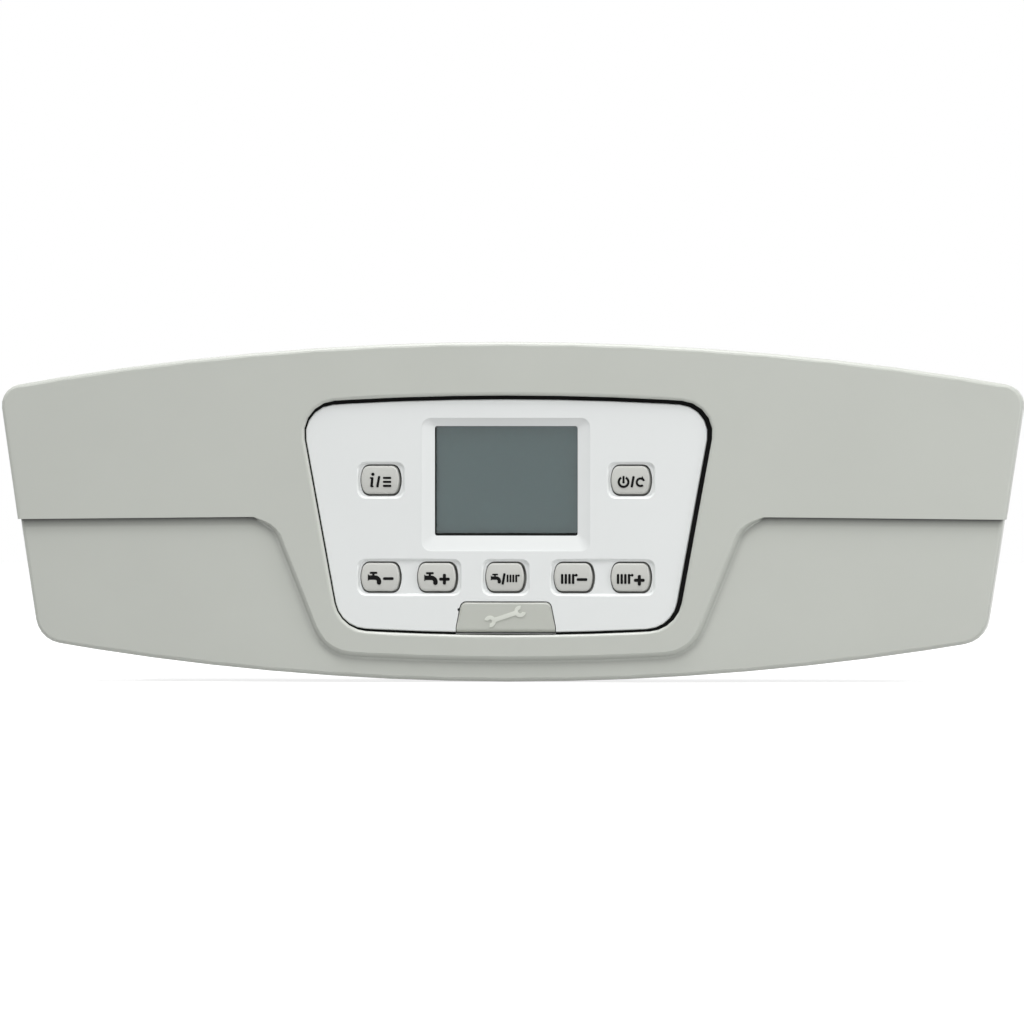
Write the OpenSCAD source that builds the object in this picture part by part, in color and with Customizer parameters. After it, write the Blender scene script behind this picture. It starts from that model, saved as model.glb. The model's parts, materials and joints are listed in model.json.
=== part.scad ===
// Control panel of a wall-hung condensing boiler: a bowed grey fascia with a white keypad insert,
// a display, seven keys and a service flap, in front of a housing that holds the control board.
// Sizes are millimetres. x runs to the right, y away from the viewer, z up. Pieces are drawn with
// y = 0 at the fascia's foremost line and z = 0 at its mid-height, and panel() then moves them so
// that the origin is the middle of the axis that the panel swings on.

/* [Fascia outline] */
// Width of the fascia at its mid-height
fascia_mid_w = 425.6; // [415:0.2:440]
// Height of the fascia at its middle
fascia_h = 146; // [140:0.5:154]
// Lean of the two side edges, in degrees from upright
side_lean = 8.8; // [6:0.2:10]
// Radius of the arched top edge
top_arc_r = 1250; // [1150:10:1500]
// Radius of the arched bottom edge
bottom_arc_r = 1200; // [1150:10:1500]
// Radius of the two upper corners
top_corner_r = 9; // [6:0.5:12]
// Radius of the two lower corners
bottom_corner_r = 13; // [8:0.5:15]

/* [Fascia shell] */
// Radius of the bowed front, seen from above
bow_r = 1350; // [1250:10:1700]
// Depth from the foremost line to the back rim
fascia_depth = 32; // [31:0.5:36]
// Wall of the fascia
skin = 2.8; // [2.4:0.1:3.2]
// Rounding of the fascia's outer edge
edge_r = 1.8; // [1.2:0.1:2.4]
// Thickness of the stiffening ribs behind the wings
rib_t = 1.6; // [1.2:0.1:2]

/* [Fascia step] */
// Height of the step line, from mid-height
step_z = -2; // [-5:0.5:1]
// How far the lower wings lie behind the upper front
step_drop = 2.4; // [1.6:0.1:2.6]
// Width of the step's slope
step_ramp = 2; // [1:0.1:2.4]
// How far the lower wings stop short of the upper outline
step_jog = 0.7; // [0.4:0.1:1]
// Width of the raised funnel beside the aperture's foot
funnel_margin = 9; // [8.8:0.1:10.4]
// Lean of the funnel's sides, in degrees
funnel_lean = 21.8; // [20:0.2:22]
// Height of the low band under the funnel
funnel_band = 11.6; // [10.8:0.1:11.8]
// Radius where the step line turns down into the funnel
shoulder_r = 12; // [8:0.5:16]
// Radius at the funnel's two lower corners
foot_r = 17; // [13:0.5:18]

/* [Aperture and insert] */
// Width of the aperture at the fascia's mid-height
aperture_mid_w = 163.4; // [161:0.2:165]
// Lean of the aperture's sides, in degrees
aperture_lean = 10.4; // [9.8:0.2:11]
// Distance from the fascia's top edge to the aperture
aperture_from_top = 22.9; // [22:0.1:25]
// Distance from the fascia's bottom edge to the aperture
aperture_from_bottom = 20.6; // [20.6:0.1:21.4]
// Radius of the aperture's upper corners
aperture_top_r = 14; // [11:0.5:15]
// Radius of the aperture's lower corners
aperture_bottom_r = 15; // [12:0.5:16]
// Rounding of the aperture's rim
rim_r = 0.8; // [0.4:0.1:1]
// Gap between the aperture and the insert
insert_gap = 1.4; // [1:0.1:1.6]
// How far the insert lies behind the fascia's front
insert_drop = 2; // [1.6:0.1:2.4]
// Wall of the insert's front
insert_skin = 3; // [2.8:0.1:3.4]
// Width of the insert's flange behind the fascia
flange_w = 5; // [4:0.1:5.2]
// Thickness of the insert's flange
flange_t = 2; // [1.6:0.1:2.2]
// Sideways seat of the insert in its aperture
insert_dx = -0.8; // [-0.8:0.1:0.8]
// Upward seat of the insert in its aperture
insert_dz = -0.3; // [-0.5:0.1:0.3]

/* [Display] */
// Width of the visible window
window_w = 61.3; // [58:0.1:64]
// Distance from the insert's top edge down to the window
window_from_top = 11.4; // [11:0.1:13]
// Distance from the lower keys up to the window
window_above_keys = 11.5; // [11:0.1:13]
// Width of the bevel beside the window
bevel_side = 5.5; // [4:0.1:6]
// Width of the bevel above the window
bevel_top = 3.5; // [2:0.1:4]
// Width of the bevel below the window
bevel_bottom = 6.6; // [5:0.1:6.8]
// Depth of the bevel
bevel_depth = 1.6; // [1:0.1:1.8]
// Thickness of the clear window
lens_t = 1.5; // [1:0.1:1.8]
// Thickness of the display cell
cell_t = 2; // [1.6:0.1:2.4]

/* [Keys] */
// Width of a key
key_w = 17; // [15:0.1:18]
// Height of a key
key_h = 12.6; // [11:0.1:13.4]
// Distance of the inner pair's keys from the middle
key_inner_x = 29.3; // [28.5:0.1:30]
// Distance between the keys of a pair
key_pitch = 24.4; // [23.8:0.1:25]
// Height of the upper keys above the window's middle
upper_keys_up = 0.3; // [-1:0.1:1]
// Gap between the service flap and the lower keys
keys_above_flap = 4.3; // [4:0.1:5]
// How far a key stands out of the insert
key_proud = 0.9; // [0.6:0.1:1.2]
// Travel of a key
key_travel = 0.6; // [0.4:0.1:0.7]
// Gap round a key
key_gap = 0.45; // [0.3:0.05:0.6]
// Depth of the pocket round the keys
pocket_depth = 0.9; // [0.6:0.1:1.2]
// Width of the pocket beside a key
pocket_side = 1.8; // [1.4:0.1:2.2]
// Width of the pocket above and below a key
pocket_end = 1.6; // [1.2:0.1:1.9]
// Width of the slope round a pocket
pocket_slope = 1; // [0.6:0.1:1.1]

/* [Service flap] */
// Width of the flap at its top
flap_w = 38; // [34:0.5:40]
// Height of the flap
flap_h = 13; // [12:0.1:13.4]
// Lean of the flap's sides, in degrees
flap_lean = 11.5; // [8:0.5:14]
// Thickness of the flap
flap_t = 2.2; // [1.8:0.1:2.4]
// Gap round the flap
flap_gap = 0.35; // [0.3:0.05:0.5]
// Radius of the barrel that the flap turns on
flap_barrel_r = 2.4; // [2.2:0.1:2.5]
// Radius of the flap's two pivot stubs
flap_stub_r = 1.2; // [1:0.05:1.3]
// Radius of the notch that opens the flap
notch_r = 0.7; // [0.5:0.1:1]

/* [Boards] */
// Distance from the foremost line to the display board
display_board_y = 17; // [16.5:0.1:18]
// Width of the display board
display_board_w = 130; // [128:0.5:132]
// Thickness of both boards
board_t = 1.6; // [1.2:0.1:2]
// Gap between the control board and the box's side walls
board_side_gap = 12.5; // [10:0.5:16]
// Gap between the control board and the box's top and bottom walls
board_end_gap = 4.5; // [4:0.5:6]
// Distance from the housing's back to the control board
main_board_up = 28; // [26:0.5:30]

/* [Housing] */
// Width of the box behind the fascia
box_w = 330; // [320:1:340]
// Height of the box
box_h = 98; // [96:0.5:102]
// Height of the box's middle, from mid-height
box_z = -2; // [-4:0.5:0]
// Distance from the foremost line to the back of the box
box_back = 80; // [78:0.5:84]
// Radius of the box's upright corners
box_corner_r = 6; // [4:0.5:8]
// Wall of the housing
box_wall = 2.5; // [2:0.1:3]
// Gap between the housing's flange and the fascia
flange_gap = 0.4; // [0.3:0.05:0.6]
// Distance from the box's sides to the wiring opening
wiring_side = 25; // [23:0.5:30]
// Height of the wiring opening
wiring_h = 34; // [32:0.5:35]
// Width of one vent slot
vent_w = 2.6; // [2:0.1:3]
// Height of one vent slot
vent_h = 18; // [14:0.5:20]
// Radius of the holes for the cable grommets
entry_r = 8; // [7:0.25:8.5]
// Radius of the grommets' bore
grommet_bore_r = 5; // [4:0.25:5.5]

/* [Wiring cover] */
// Thickness of the cover
cover_t = 2.2; // [1.8:0.1:2.6]
// How far the cover laps over the edge of its opening
cover_lap = 3; // [2.5:0.1:3.2]
// Gap between the cover and the housing
cover_gap = 0.3; // [0.3:0.05:0.5]
// Radius of the hinge knuckles
knuckle_r = 2.6; // [2.4:0.1:2.8]
// Radius of the hinge pins
hinge_pin_r = 1.2; // [1:0.05:1.4]
// Width of one hinge knuckle
knuckle_w = 8; // [6:0.5:10]

/* [Mounts] */
// Radius of the pivot pins at the panel's sides
pivot_r = 4; // [3:0.25:5]
// Free length of a pivot pin
pivot_len = 12; // [8:0.5:16]
// Distance from the box's back to the pivot axis
pivot_from_back = 14; // [12:0.5:18]
// Distance from the box's bottom to the pivot axis
pivot_from_bottom = 13; // [11:0.5:16]
// Distance between the two catch screws
catch_spacing = 270; // [250:1:280]
// Radius of the catch screws' holes
catch_hole_r = 2.25; // [1.75:0.25:2.75]

/* [Hidden] */
$fn = 48;
// Radial clearance of a running pin, gap between pieces that move, and gap between held pieces
run_gap = 0.05;
move_gap = 0.35;
seat_gap = 0.1;
// Room that a cut runs past the surface it opens
past = 1;
// Steps of the bowed surfaces, of the arched edges and of the rounded corners
bow_steps = 44;
arch_steps = 16;
turn_steps = 5;
// Half of the width over which the bowed surfaces are drawn
bow_reach = 242;
// Points of a rounded edge, as [inset, depth] in parts of its radius. The first lies in front of it
quarter_turn = [[1.12, -0.1], [0.53, 0.117], [0.17, 0.44], [0, 1]];
// Points of the step's slope, as [inset, depth] in parts of its width and of its drop
step_turn = [[1.2, -0.05], [0.8, 0.2], [0.12, 0.88], [-0.4, 1.02]];
// Colours
grey = [0.75, 0.75, 0.73];
white = [0.88, 0.88, 0.87];
key_grey = [0.68, 0.68, 0.66];
black = [0.1, 0.1, 0.1];
steel = [0.72, 0.73, 0.75];
board_green = [0.1, 0.35, 0.2];

// Plane of the fascia's back rim, and the heights of its top and bottom
top_z = fascia_h / 2;
bottom_z = -fascia_h / 2;
// Insert levels, counted back from the fascia's front
insert_back = insert_drop + insert_skin;
seal_t = insert_back - flange_t / 2 - skin;
flange_front = skin + seal_t;
flange_back = flange_front + flange_t;
aperture_top = top_z - aperture_from_top;
aperture_bottom = bottom_z + aperture_from_bottom;
insert_top = aperture_top - insert_gap;
insert_bottom = aperture_bottom + insert_gap;
funnel_mid_w = 2 * (side_x(aperture_bottom, aperture_mid_w, aperture_lean) + funnel_margin
    - aperture_bottom * tan(funnel_lean));
// Ears that the insert is screwed by, as [x, z]
seal_in = insert_gap - seat_gap;
seal_out = 2.9;
ear_out = 7.7;
ear_high = (aperture_top + aperture_bottom) / 2 + 29;
ear_low = step_z - 4;
ears = [for (z = [ear_high, ear_low], s = [-1, 1])
    [s * (side_x(z, aperture_mid_w, aperture_lean) + ear_out), z]];
ear_reach = 10;
ear_r = 4.6;
ear_boss_r = 3.6;
ear_screw_r = 1.4;
ear_screw_in = 2;
// Heights of the keys and of the window between them and the insert's top
key_outer_x = key_inner_x + key_pitch;
key_lower_z = insert_bottom + flap_h + keys_above_flap + key_h / 2;
window_top = insert_top - window_from_top;
window_bottom = key_lower_z + key_h / 2 + window_above_keys;
window_h = window_top - window_bottom;
window_z = (window_top + window_bottom) / 2;
key_upper_z = window_z + upper_keys_up;
// Display stack, counted back from the foremost line
window_front = insert_back + bow_y(window_w / 2 + bevel_side) + seat_gap;
window_lap = 3;
cell_front = window_front + lens_t + seat_gap;
cell_lap = 2;
light_front = cell_front + cell_t + seat_gap;
light_t = 3;
carrier_wall = 3;
// Display board
board_top = window_z + window_h / 2 + 8;
board_bottom = insert_bottom + 1;
board_hole_x = display_board_w / 2 - 6;
board_hole_z = [board_top - 5, board_bottom + 6];
board_screw_r = 1.5;
boss_r = 3.6;
mat_t = 1.2;
dome_h = 3;
dome_r = 5;
dome_top_r = 3.4;
dome_front = display_board_y - mat_t - dome_h;
stem_gap = key_travel + 0.4;
stem_r = 3;
key_flange = 1.3;
key_flange_t = 1;
key_level = insert_drop - key_proud;
// Keys, as [x, z]
info_at = [-key_outer_x, key_upper_z];
power_at = [key_outer_x, key_upper_z];
water_down_at = [-key_outer_x, key_lower_z];
water_up_at = [-key_inner_x, key_lower_z];
mode_at = [0, key_lower_z];
heat_down_at = [key_inner_x, key_lower_z];
heat_up_at = [key_outer_x, key_lower_z];
keys = [info_at, power_at, water_down_at, water_up_at, mode_at, heat_down_at, heat_up_at];
// Service flap, and the well behind it
flap_front = insert_drop + bow_y(flap_w / 2) / 2;
flap_z = insert_bottom + flap_barrel_r;
flap_y = flap_front + flap_barrel_r;
flap_half = flap_w / 2 + (flap_h - flap_barrel_r) * tan(flap_lean);
flap_top = insert_bottom + flap_h;
barrel_half = flap_half - (flap_barrel_r + flap_gap) * tan(flap_lean);
flap_corner_r = 2.5;
notch_down = 3.6;
stub_len = 2.2;
well_wall = 3.4;
well_floor = 1.5;
well_back = display_board_y - 2.6;
well_low = insert_bottom - flap_gap;
well_high = flap_top + flap_gap;
socket_w = 17;
socket_h = 8;
socket_z = (flap_z + flap_top) / 2 + 1;
socket_front = well_back - 5.5;
socket_wall = 1.2;
socket_depth = 6.5;
contact_len = 1.4;
contacts = 6;
contact_pitch = 2;
// Housing
plate_back = fascia_depth - 1;
plate_front = plate_back - box_wall;
box_top = box_z + box_h / 2;
box_bottom = box_z - box_h / 2;
box_inside = box_back - box_wall;
boss_in = 11;
boss_x = 75;
side_boss_z = [box_top - boss_in, box_bottom + boss_in];
end_boss_z = [(box_top + top_z - arch(boss_x, top_arc_r) - skin - step_jog) / 2,
    (box_bottom + bottom_z + arch(boss_x, bottom_arc_r) + skin + step_jog) / 2];
fascia_bosses = concat(
    [for (z = side_boss_z, s = [-1, 1])
        [s * (box_w / 2 + side_x(z, fascia_mid_w, side_lean) - skin) / 2, z]],
    [for (z = end_boss_z, s = [-1, 1]) [s * boss_x, z]]);
fascia_boss_r = 3.4;
fascia_screw_r = 1.6;
screw_head = 2;
fascia_screw_in = 7;
// Control board, in the housing
board_rise = 2;
main_board_w = box_w - 2 * (box_wall + board_side_gap);
main_board_h = box_h - 2 * (box_wall + board_end_gap);
board_back = box_back - main_board_up;
board_front = board_back - board_t;
main_left = -main_board_w / 2;
main_right = main_board_w / 2;
main_low = box_z + board_rise - main_board_h / 2;
main_high = box_z + board_rise + main_board_h / 2;
post_r = 3.6;
post_in = 4;
posts = [[main_left + post_in, main_high - post_in], [0, main_high - post_in],
    [main_right - post_in, main_high - post_in],
    [main_left + post_in, main_low + post_in + 2], [main_right - post_in, main_low + post_in + 2]];
// Wiring opening and its cover
wiring_w = box_w - 2 * wiring_side;
wiring_rise = 5.5;
wiring_bottom = box_bottom + wiring_rise;
wiring_top = wiring_bottom + wiring_h;
cover_front = box_back + cover_gap;
hinge_z = wiring_top + cover_lap + knuckle_r + move_gap;
hinge_y = cover_front + cover_t / 2 - 0.1;
hinge_pad_t = 1.5;
hinge_in = 45;
hinge_x = wiring_w / 2 - hinge_in;
pin_head_r = 2;
knuckle_pitch = knuckle_w + move_gap;
// Entries for cables in the housing's underside
entry_in = 30;
entry_pitch = 30;
entry_outer = wiring_w / 2 - entry_in;
entry_x = [-entry_outer, entry_pitch - entry_outer, entry_outer - entry_pitch, entry_outer];
entry_y = box_inside - entry_r - 3.5;
grommet_lip = 2.5;
grommet_cap = 0.8;
// Pivot pins and catch lugs
pivot_y = box_back - pivot_from_back;
pivot_z = box_bottom + pivot_from_bottom;
pivot_root_r = pivot_r + 1.5;
pivot_head_r = pivot_root_r + 2;
pivot_boss_r = pivot_root_r + 3;
pivot_boss_len = 3;
lug_t = 4;
lug_y = box_back - 6;
lug_z = box_top + 8;
lug_r = 7;
lug_foot = 12;
lug_foot_t = 2.5;
lug_peg_r = 2.5;

// Flat cable between the display board and the control board
ribbon_from = [display_board_y + board_t + 6, 13];
ribbon_to = [board_front - 6, -8];
connector_half = 15;
connector_h = 3;
// Vents, cable clamps and the posts that the clamps are screwed to
vent_pitch = 7;
clamp_z = box_bottom + 12;
clamp_t = 3;
clamp_post_r = 3.2;
clamp_reach = 29;
clamp_x = [(entry_x[0] + entry_x[1]) / 2, (entry_x[2] + entry_x[3]) / 2];
clamp_posts = [for (x = clamp_x, s = [-1, 1]) x + s * clamp_reach];
// Terminal blocks, and the line above them
terminals = 3;
ways = 6;
terminal_pitch = 8.5;
terminal_w = ways * terminal_pitch + 2;
terminal_gap = 6;
terminal_from_side = 12;
terminal_from_low = 10;
terminal_h = 13;
terminal_d = 15;
wire_hole = 3.8;
screw_hole_r = 2;
terminal_x = [for (i = [0:terminals - 1])
    main_left + terminal_from_side + terminal_w / 2 + i * (terminal_w + terminal_gap)];
terminal_z = main_low + terminal_from_low;
parts_low = terminal_z + terminal_h;
// Sizes of the other components: width, height and how far each stands out
transformer_w = 44;
transformer_h = 42;
transformer_d = 20;
core_in = 4;
relay_w = 16;
relay_h = 20;
relay_d = 16;
relay_gap = 4;
relay_from_high = 10;
capacitor_r = 6.5;
capacitor_d = 22;
small_r = 5;
small_d = 18;
fuse_w = 28;
fuse_h = 10;
fuse_d = 9;
fuse_r = 2.6;
sink_w = 36;
sink_h = 20;
sink_d = 20;
sink_base = 4;
fin_t = 1.5;
fins = 7;
chip_w = 19;
chip_h = 13;
chip_t = 2;
small_chip = 9;
coil_r = 4;
coil_d = 7;
driver_w = 12;
driver_d = 5;
buzzer = 10;
signal_w = 18;
signal_h = 8;
signal_d = 10;
signal_gap = 3;
signals = 3;
sink_from_side = 46;
fuse_x = main_left + terminal_from_side + transformer_w + 2 * core_in + fuse_w / 2 + relay_gap;
fuse_z = parts_low + 3 + fuse_h / 2;
// Back of the control board, which its components stand on
parts_y = board_back + seat_gap;

// Plan of the bow: how far back the front lies at a distance x from the middle
function bow_y(x) = bow_r - sqrt(bow_r * bow_r - x * x);
function arch(x, r) = r - sqrt(r * r - x * x);
function unit(v) = v / norm(v);
function turned(v, a) = [v.x * cos(a) - v.y * sin(a), v.x * sin(a) + v.y * cos(a)];
function flat(v) = [v.x, v.y];

// Points of the corner b between a and c, rounded by r
function corner(a, b, c, r) =
    let (u = unit(b - a), v = unit(c - b))
    let (t = atan2(u.x * v.y - u.y * v.x, u * v))
    let (start = b - u * r * tan(abs(t) / 2))
    let (side = [-u.y, u.x] * r * sign(t))
    [for (i = [0:turn_steps]) start + side + turned(-side, t * i / turn_steps)];

// Closed path through corners given as [x, z, radius]
function rounded(p) =
    let (m = len(p))
    [for (i = [0:m - 1]) each (p[i][2] == 0 ? [flat(p[i])]
        : corner(flat(p[(i + m - 1) % m]), flat(p[i]), flat(p[(i + 1) % m]), p[i][2]))];

// The same path moved inwards by d
function inset(p, d) =
    let (m = len(p))
    [for (i = [0:m - 1])
        let (u = unit(p[i] - p[(i + m - 1) % m]), v = unit(p[(i + 1) % m] - p[i]))
        let (a = [-u.y, u.x], b = [-v.y, v.x])
        p[i] + d * (a + b) / (1 + a * b)];

// A ring of points on the bowed surface at a level, and one on a flat plane
function bow_ring(p, d, level) = [for (q = inset(p, d)) [q.x, bow_y(q.x) + level, q.y]];
function flat_ring(p, d, y) = [for (q = inset(p, d)) [q.x, y, q.y]];

// Rings that round the edge of outline p by r, from just in front of a bowed level to its side
function rim(p, level, r, way) = concat([flat_ring(p, way * r * quarter_turn[0].x, -10)],
    [for (q = quarter_turn) bow_ring(p, way * r * q.x, level + r * q.y)]);

// Half width of a shape with leaning sides
function side_x(z, mid_w, lean) = mid_w / 2 + z * tan(lean);

// Outline with arched top and bottom and leaning sides
function shield(mid_w, lean, top, top_arc, top_r, bottom, bottom_arc, bottom_r, steps) =
    let (tx = side_x(top - arch(side_x(top, mid_w, lean), top_arc), mid_w, lean))
    let (bx = side_x(bottom + arch(side_x(bottom, mid_w, lean), bottom_arc), mid_w, lean))
    rounded(concat(
        [for (i = [0:steps]) let (x = -bx + 2 * bx * i / steps)
            [x, bottom + arch(x, bottom_arc), i % steps == 0 ? bottom_r : 0]],
        [for (i = [0:steps]) let (x = tx - 2 * tx * i / steps)
            [x, top - arch(x, top_arc), i % steps == 0 ? top_r : 0]]));

function fascia_path() = shield(fascia_mid_w, side_lean, top_z, top_arc_r, top_corner_r,
    bottom_z, bottom_arc_r, bottom_corner_r, arch_steps);
function aperture_path() = shield(aperture_mid_w, aperture_lean, aperture_top, top_arc_r,
    aperture_top_r, aperture_bottom, bottom_arc_r, aperture_bottom_r, arch_steps / 2);

// Outline of the raised zone: its lower edge is the step line and the funnel
function funnel_x(z) = side_x(z, funnel_mid_w, funnel_lean);
function zone_path() =
    let (foot = bottom_z + funnel_band)
    let (fx = funnel_x(foot + arch(funnel_x(foot), bottom_arc_r)))
    rounded(concat(
        [[0, top_z + 20, 0], [-bow_reach, top_z + 20, 0],
        [-bow_reach, step_z, 0], [-funnel_x(step_z), step_z, shoulder_r]],
        [for (i = [0:arch_steps / 2]) let (x = -fx + 4 * fx * i / arch_steps)
            [x, foot + arch(x, bottom_arc_r), i % (arch_steps / 2) == 0 ? foot_r : 0]],
        [[funnel_x(step_z), step_z, shoulder_r], [bow_reach, step_z, 0],
        [bow_reach, top_z + 20, 0]]));

// Rounded rectangle about a point [x, z]
function box_path(at, w, h, r) = rounded([[at.x - w / 2, at.y - h / 2, r],
    [at.x + w / 2, at.y - h / 2, r], [at.x + w / 2, at.y + h / 2, r], [at.x - w / 2, at.y + h / 2, r]]);

// Outline of a key: a rectangle whose two ends bulge
function key_path(at) = rounded([
    [at.x - key_w / 2 + 1.5, at.y - key_h / 2, 3], [at.x + key_w / 2 - 1.5, at.y - key_h / 2, 3],
    [at.x + key_w / 2 + 0.7, at.y, 12],
    [at.x + key_w / 2 - 1.5, at.y + key_h / 2, 3], [at.x - key_w / 2 + 1.5, at.y + key_h / 2, 3],
    [at.x - key_w / 2 - 0.7, at.y, 12]]);

// Points of a circle, for barrels that are drawn as flats
function circle_path(y, z, r, n) =
    [for (i = [0:n - 1]) [y + r * cos(360 * i / n), z + r * sin(360 * i / n)]];

// Outline of a bent strip of thickness t along a line of points
function strip(p, t) =
    let (m = len(p))
    let (n = [for (i = [0:m - 1]) let (u = unit(p[max(i, 1)] - p[max(i, 1) - 1]),
        v = unit(p[min(i, m - 2) + 1] - p[min(i, m - 2)]))
        let (a = [-u.y, u.x], b = [-v.y, v.x]) (a + b) / (1 + a * b)])
    concat([for (i = [0:m - 1]) p[i] + n[i] * t / 2], [for (i = [m - 1:-1:0]) p[i] - n[i] * t / 2]);

// Solid between rings, the foremost first. Every point of a ring can be seen from its first point.
module loft(rings) {
    m = len(rings[0]);
    k = len(rings);
    polyhedron(
        points = [for (r = rings) each r],
        faces = concat(
            [[for (i = [m:-1:1]) i % m]],
            [for (j = [0:k - 2], i = [0:m - 1]) [j * m + i, j * m + (i + 1) % m, (j + 1) * m + (i + 1) % m]],
            [for (j = [0:k - 2], i = [0:m - 1]) [j * m + i, (j + 1) * m + (i + 1) % m, (j + 1) * m + i]],
            [[for (i = [0:m - 1]) (k - 1) * m + i]]));
}

module along_x(x0, x1) {
    translate([x0, 0, 0])
        rotate([90, 0, 90])
            linear_extrude(x1 - x0)
                children();
}

module along_y(y0, y1) {
    translate([0, y1, 0])
        rotate([90, 0, 0])
            linear_extrude(y1 - y0)
                children();
}

module along_z(z0, z1) {
    translate([0, 0, z0])
        linear_extrude(z1 - z0)
            children();
}

// Box between two corners
module block(from, to) {
    translate(from)
        cube(to - from);
}

// Cylinder along y at [x, z]
module rod_y(at, r, y0, y1) {
    translate([at.x, y1, at.y])
        rotate([90, 0, 0])
            cylinder(r = r, h = y1 - y0);
}

// Cylinder along x at [y, z]
module rod_x(at, r, x0, x1) {
    translate([x0, at.x, at.y])
        rotate([0, 90, 0])
            cylinder(r = r, h = x1 - x0);
}

// Line of the bow at a level, seen from above
function bow_line(level) =
    [for (i = [0:bow_steps]) let (x = bow_reach * (2 * i / bow_steps - 1)) [x, bow_y(x) + level]];

// Everything from a bowed level back to a flat plane
module bowed(level, back) {
    along_z(-top_z - 20, top_z + 20)
        polygon(concat(bow_line(level), [[bow_reach, back], [-bow_reach, back]]));
}

// Plate between two bowed levels
module bowed_plate(front, back) {
    along_z(-top_z - 20, top_z + 20)
        polygon(concat(bow_line(front), [for (i = [bow_steps:-1:0]) bow_line(back)[i]]));
}

// Body with outline p whose bowed front edge is rounded by r
module rounded_body(p, level, r, back) {
    intersection() {
        loft(concat(rim(p, level, r, 1), [flat_ring(p, 0, back)]));
        bowed(level, back + past);
    }
}

// Cut with outline p whose rim is rounded by r where it meets a bowed level
module rounded_cut(p, level, r, back) {
    loft(concat(rim(p, level, r, -1), [flat_ring(p, 0, back)]));
}

// Raised zone, with the slope down to the lower wings
module zone(d, level, back) {
    p = zone_path();
    loft([
        flat_ring(p, d + step_ramp * step_turn[0].x, -10),
        for (q = step_turn) bow_ring(p, d + step_ramp * q.x, level + step_drop * q.y),
        flat_ring(p, d + step_ramp * step_turn[3].x, back)]);
}

// The panel as it is fixed: the origin is the middle between its two catch holes
module panel() {
    translate([0, -lug_y - lug_t, -lug_z])
        children();
}

module on_insert() {
    panel()
        translate([insert_dx, 0, insert_dz])
            children();
}

module screw(at, r, head_r, y_tip, y_seat) {
    // Screw driven forwards: its head sits behind y_seat
    rod_y(at, r, y_tip, y_seat + screw_head / 2);
    difference() {
        rod_y(at, head_r, y_seat, y_seat + screw_head);
        translate([at.x, 0, at.y]) {
            slot = head_r * 0.65;
            low = y_seat + screw_head / 2;
            high = y_seat + screw_head + past;
            block([-slot, low, -0.3], [slot, high, 0.3]);
            block([-0.3, low, -slot], [0.3, high, slot]);
        }
    }
}

module fascia_shell() {
    difference() {
        union() {
            rounded_body(inset(fascia_path(), step_jog), step_drop, edge_r, fascia_depth);
            intersection() {
                rounded_body(fascia_path(), 0, edge_r, fascia_depth);
                zone(0, 0, fascia_depth + past);
            }
        }
        rounded_body(inset(fascia_path(), step_jog + skin), step_drop + skin, 1, fascia_depth + past);
        intersection() {
            rounded_body(inset(fascia_path(), skin + step_jog), skin, 1, fascia_depth + past);
            zone(skin, skin, fascia_depth + past);
        }
        rounded_cut(aperture_path(), 0, rim_r, fascia_depth);
    }
}

module fascia() {
    color(grey)
        panel()
            difference() {
                union() {
                    fascia_shell();
                    for (b = fascia_bosses)
                        rod_y(b, fascia_boss_r, bow_y(b.x) + (b.y > 0 ? 0 : step_drop) + skin / 2,
                            plate_front);
                    for (x = [-150, -120, 120, 150])
                        block([x - rib_t / 2, bow_y(x) + step_drop + skin / 2, -50],
                            [x + rib_t / 2, bow_y(x) + step_drop + skin + 5, 50]);
                    translate([insert_dx, 0, insert_dz])
                        intersection() {
                            for (e = ears)
                                rod_y(e, ear_boss_r, 0, fascia_depth);
                            bowed_plate(skin / 2, flange_front - seat_gap);
                        }
                }
                for (b = fascia_bosses)
                    rod_y(b, fascia_screw_r - seat_gap, plate_front - fascia_screw_in - past,
                        plate_front + past);
                translate([insert_dx, 0, insert_dz])
                    for (e = ears)
                        rod_y(e, ear_screw_r - seat_gap, bow_y(e.x) + flange_front - ear_screw_in - 0.5,
                            bow_y(e.x) + flange_front + past);
            }
}

module insert_seal() {
    color(black)
        on_insert()
            difference() {
                intersection() {
                    along_y(-10, fascia_depth)
                        polygon(inset(aperture_path(), -seal_out));
                    bowed_plate(skin + seat_gap, flange_front - seat_gap);
                }
                along_y(-20, fascia_depth + past)
                    polygon(inset(aperture_path(), seal_in));
                block([-flap_half - flap_gap, 0, insert_bottom - 2 * move_gap],
                    [flap_half + flap_gap, fascia_depth, flap_z]);
            }
}

module pocket(from, to) {
    // Pocket with sloped sides, round the keys between two key centres
    mid = (from + to) / 2;
    edge = box_path(mid, to.x - from.x + key_w + 2 * pocket_side, key_h + 2 * pocket_end, 3.5);
    over = 0.2;
    wide = -over * pocket_slope / pocket_depth;
    narrow = pocket_slope - wide;
    intersection() {
        loft([
            flat_ring(edge, wide, -10),
            bow_ring(edge, wide, insert_drop - over),
            bow_ring(edge, narrow, insert_drop + pocket_depth + over),
            flat_ring(edge, narrow, fascia_depth)]);
        bowed_plate(-10, insert_drop + pocket_depth);
    }
}

module display_cut() {
    outer = box_path([0, window_z + (bevel_top - bevel_bottom) / 2],
        window_w + 2 * bevel_side, window_h + bevel_top + bevel_bottom, 4);
    inner = box_path([0, window_z], window_w, window_h, 1);
    loft([
        flat_ring(outer, 0, -10),
        bow_ring(outer, 0, insert_drop + 0.3),
        bow_ring(inner, 0, insert_drop + 0.3 + bevel_depth),
        flat_ring(inner, 0, fascia_depth)]);
}

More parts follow.
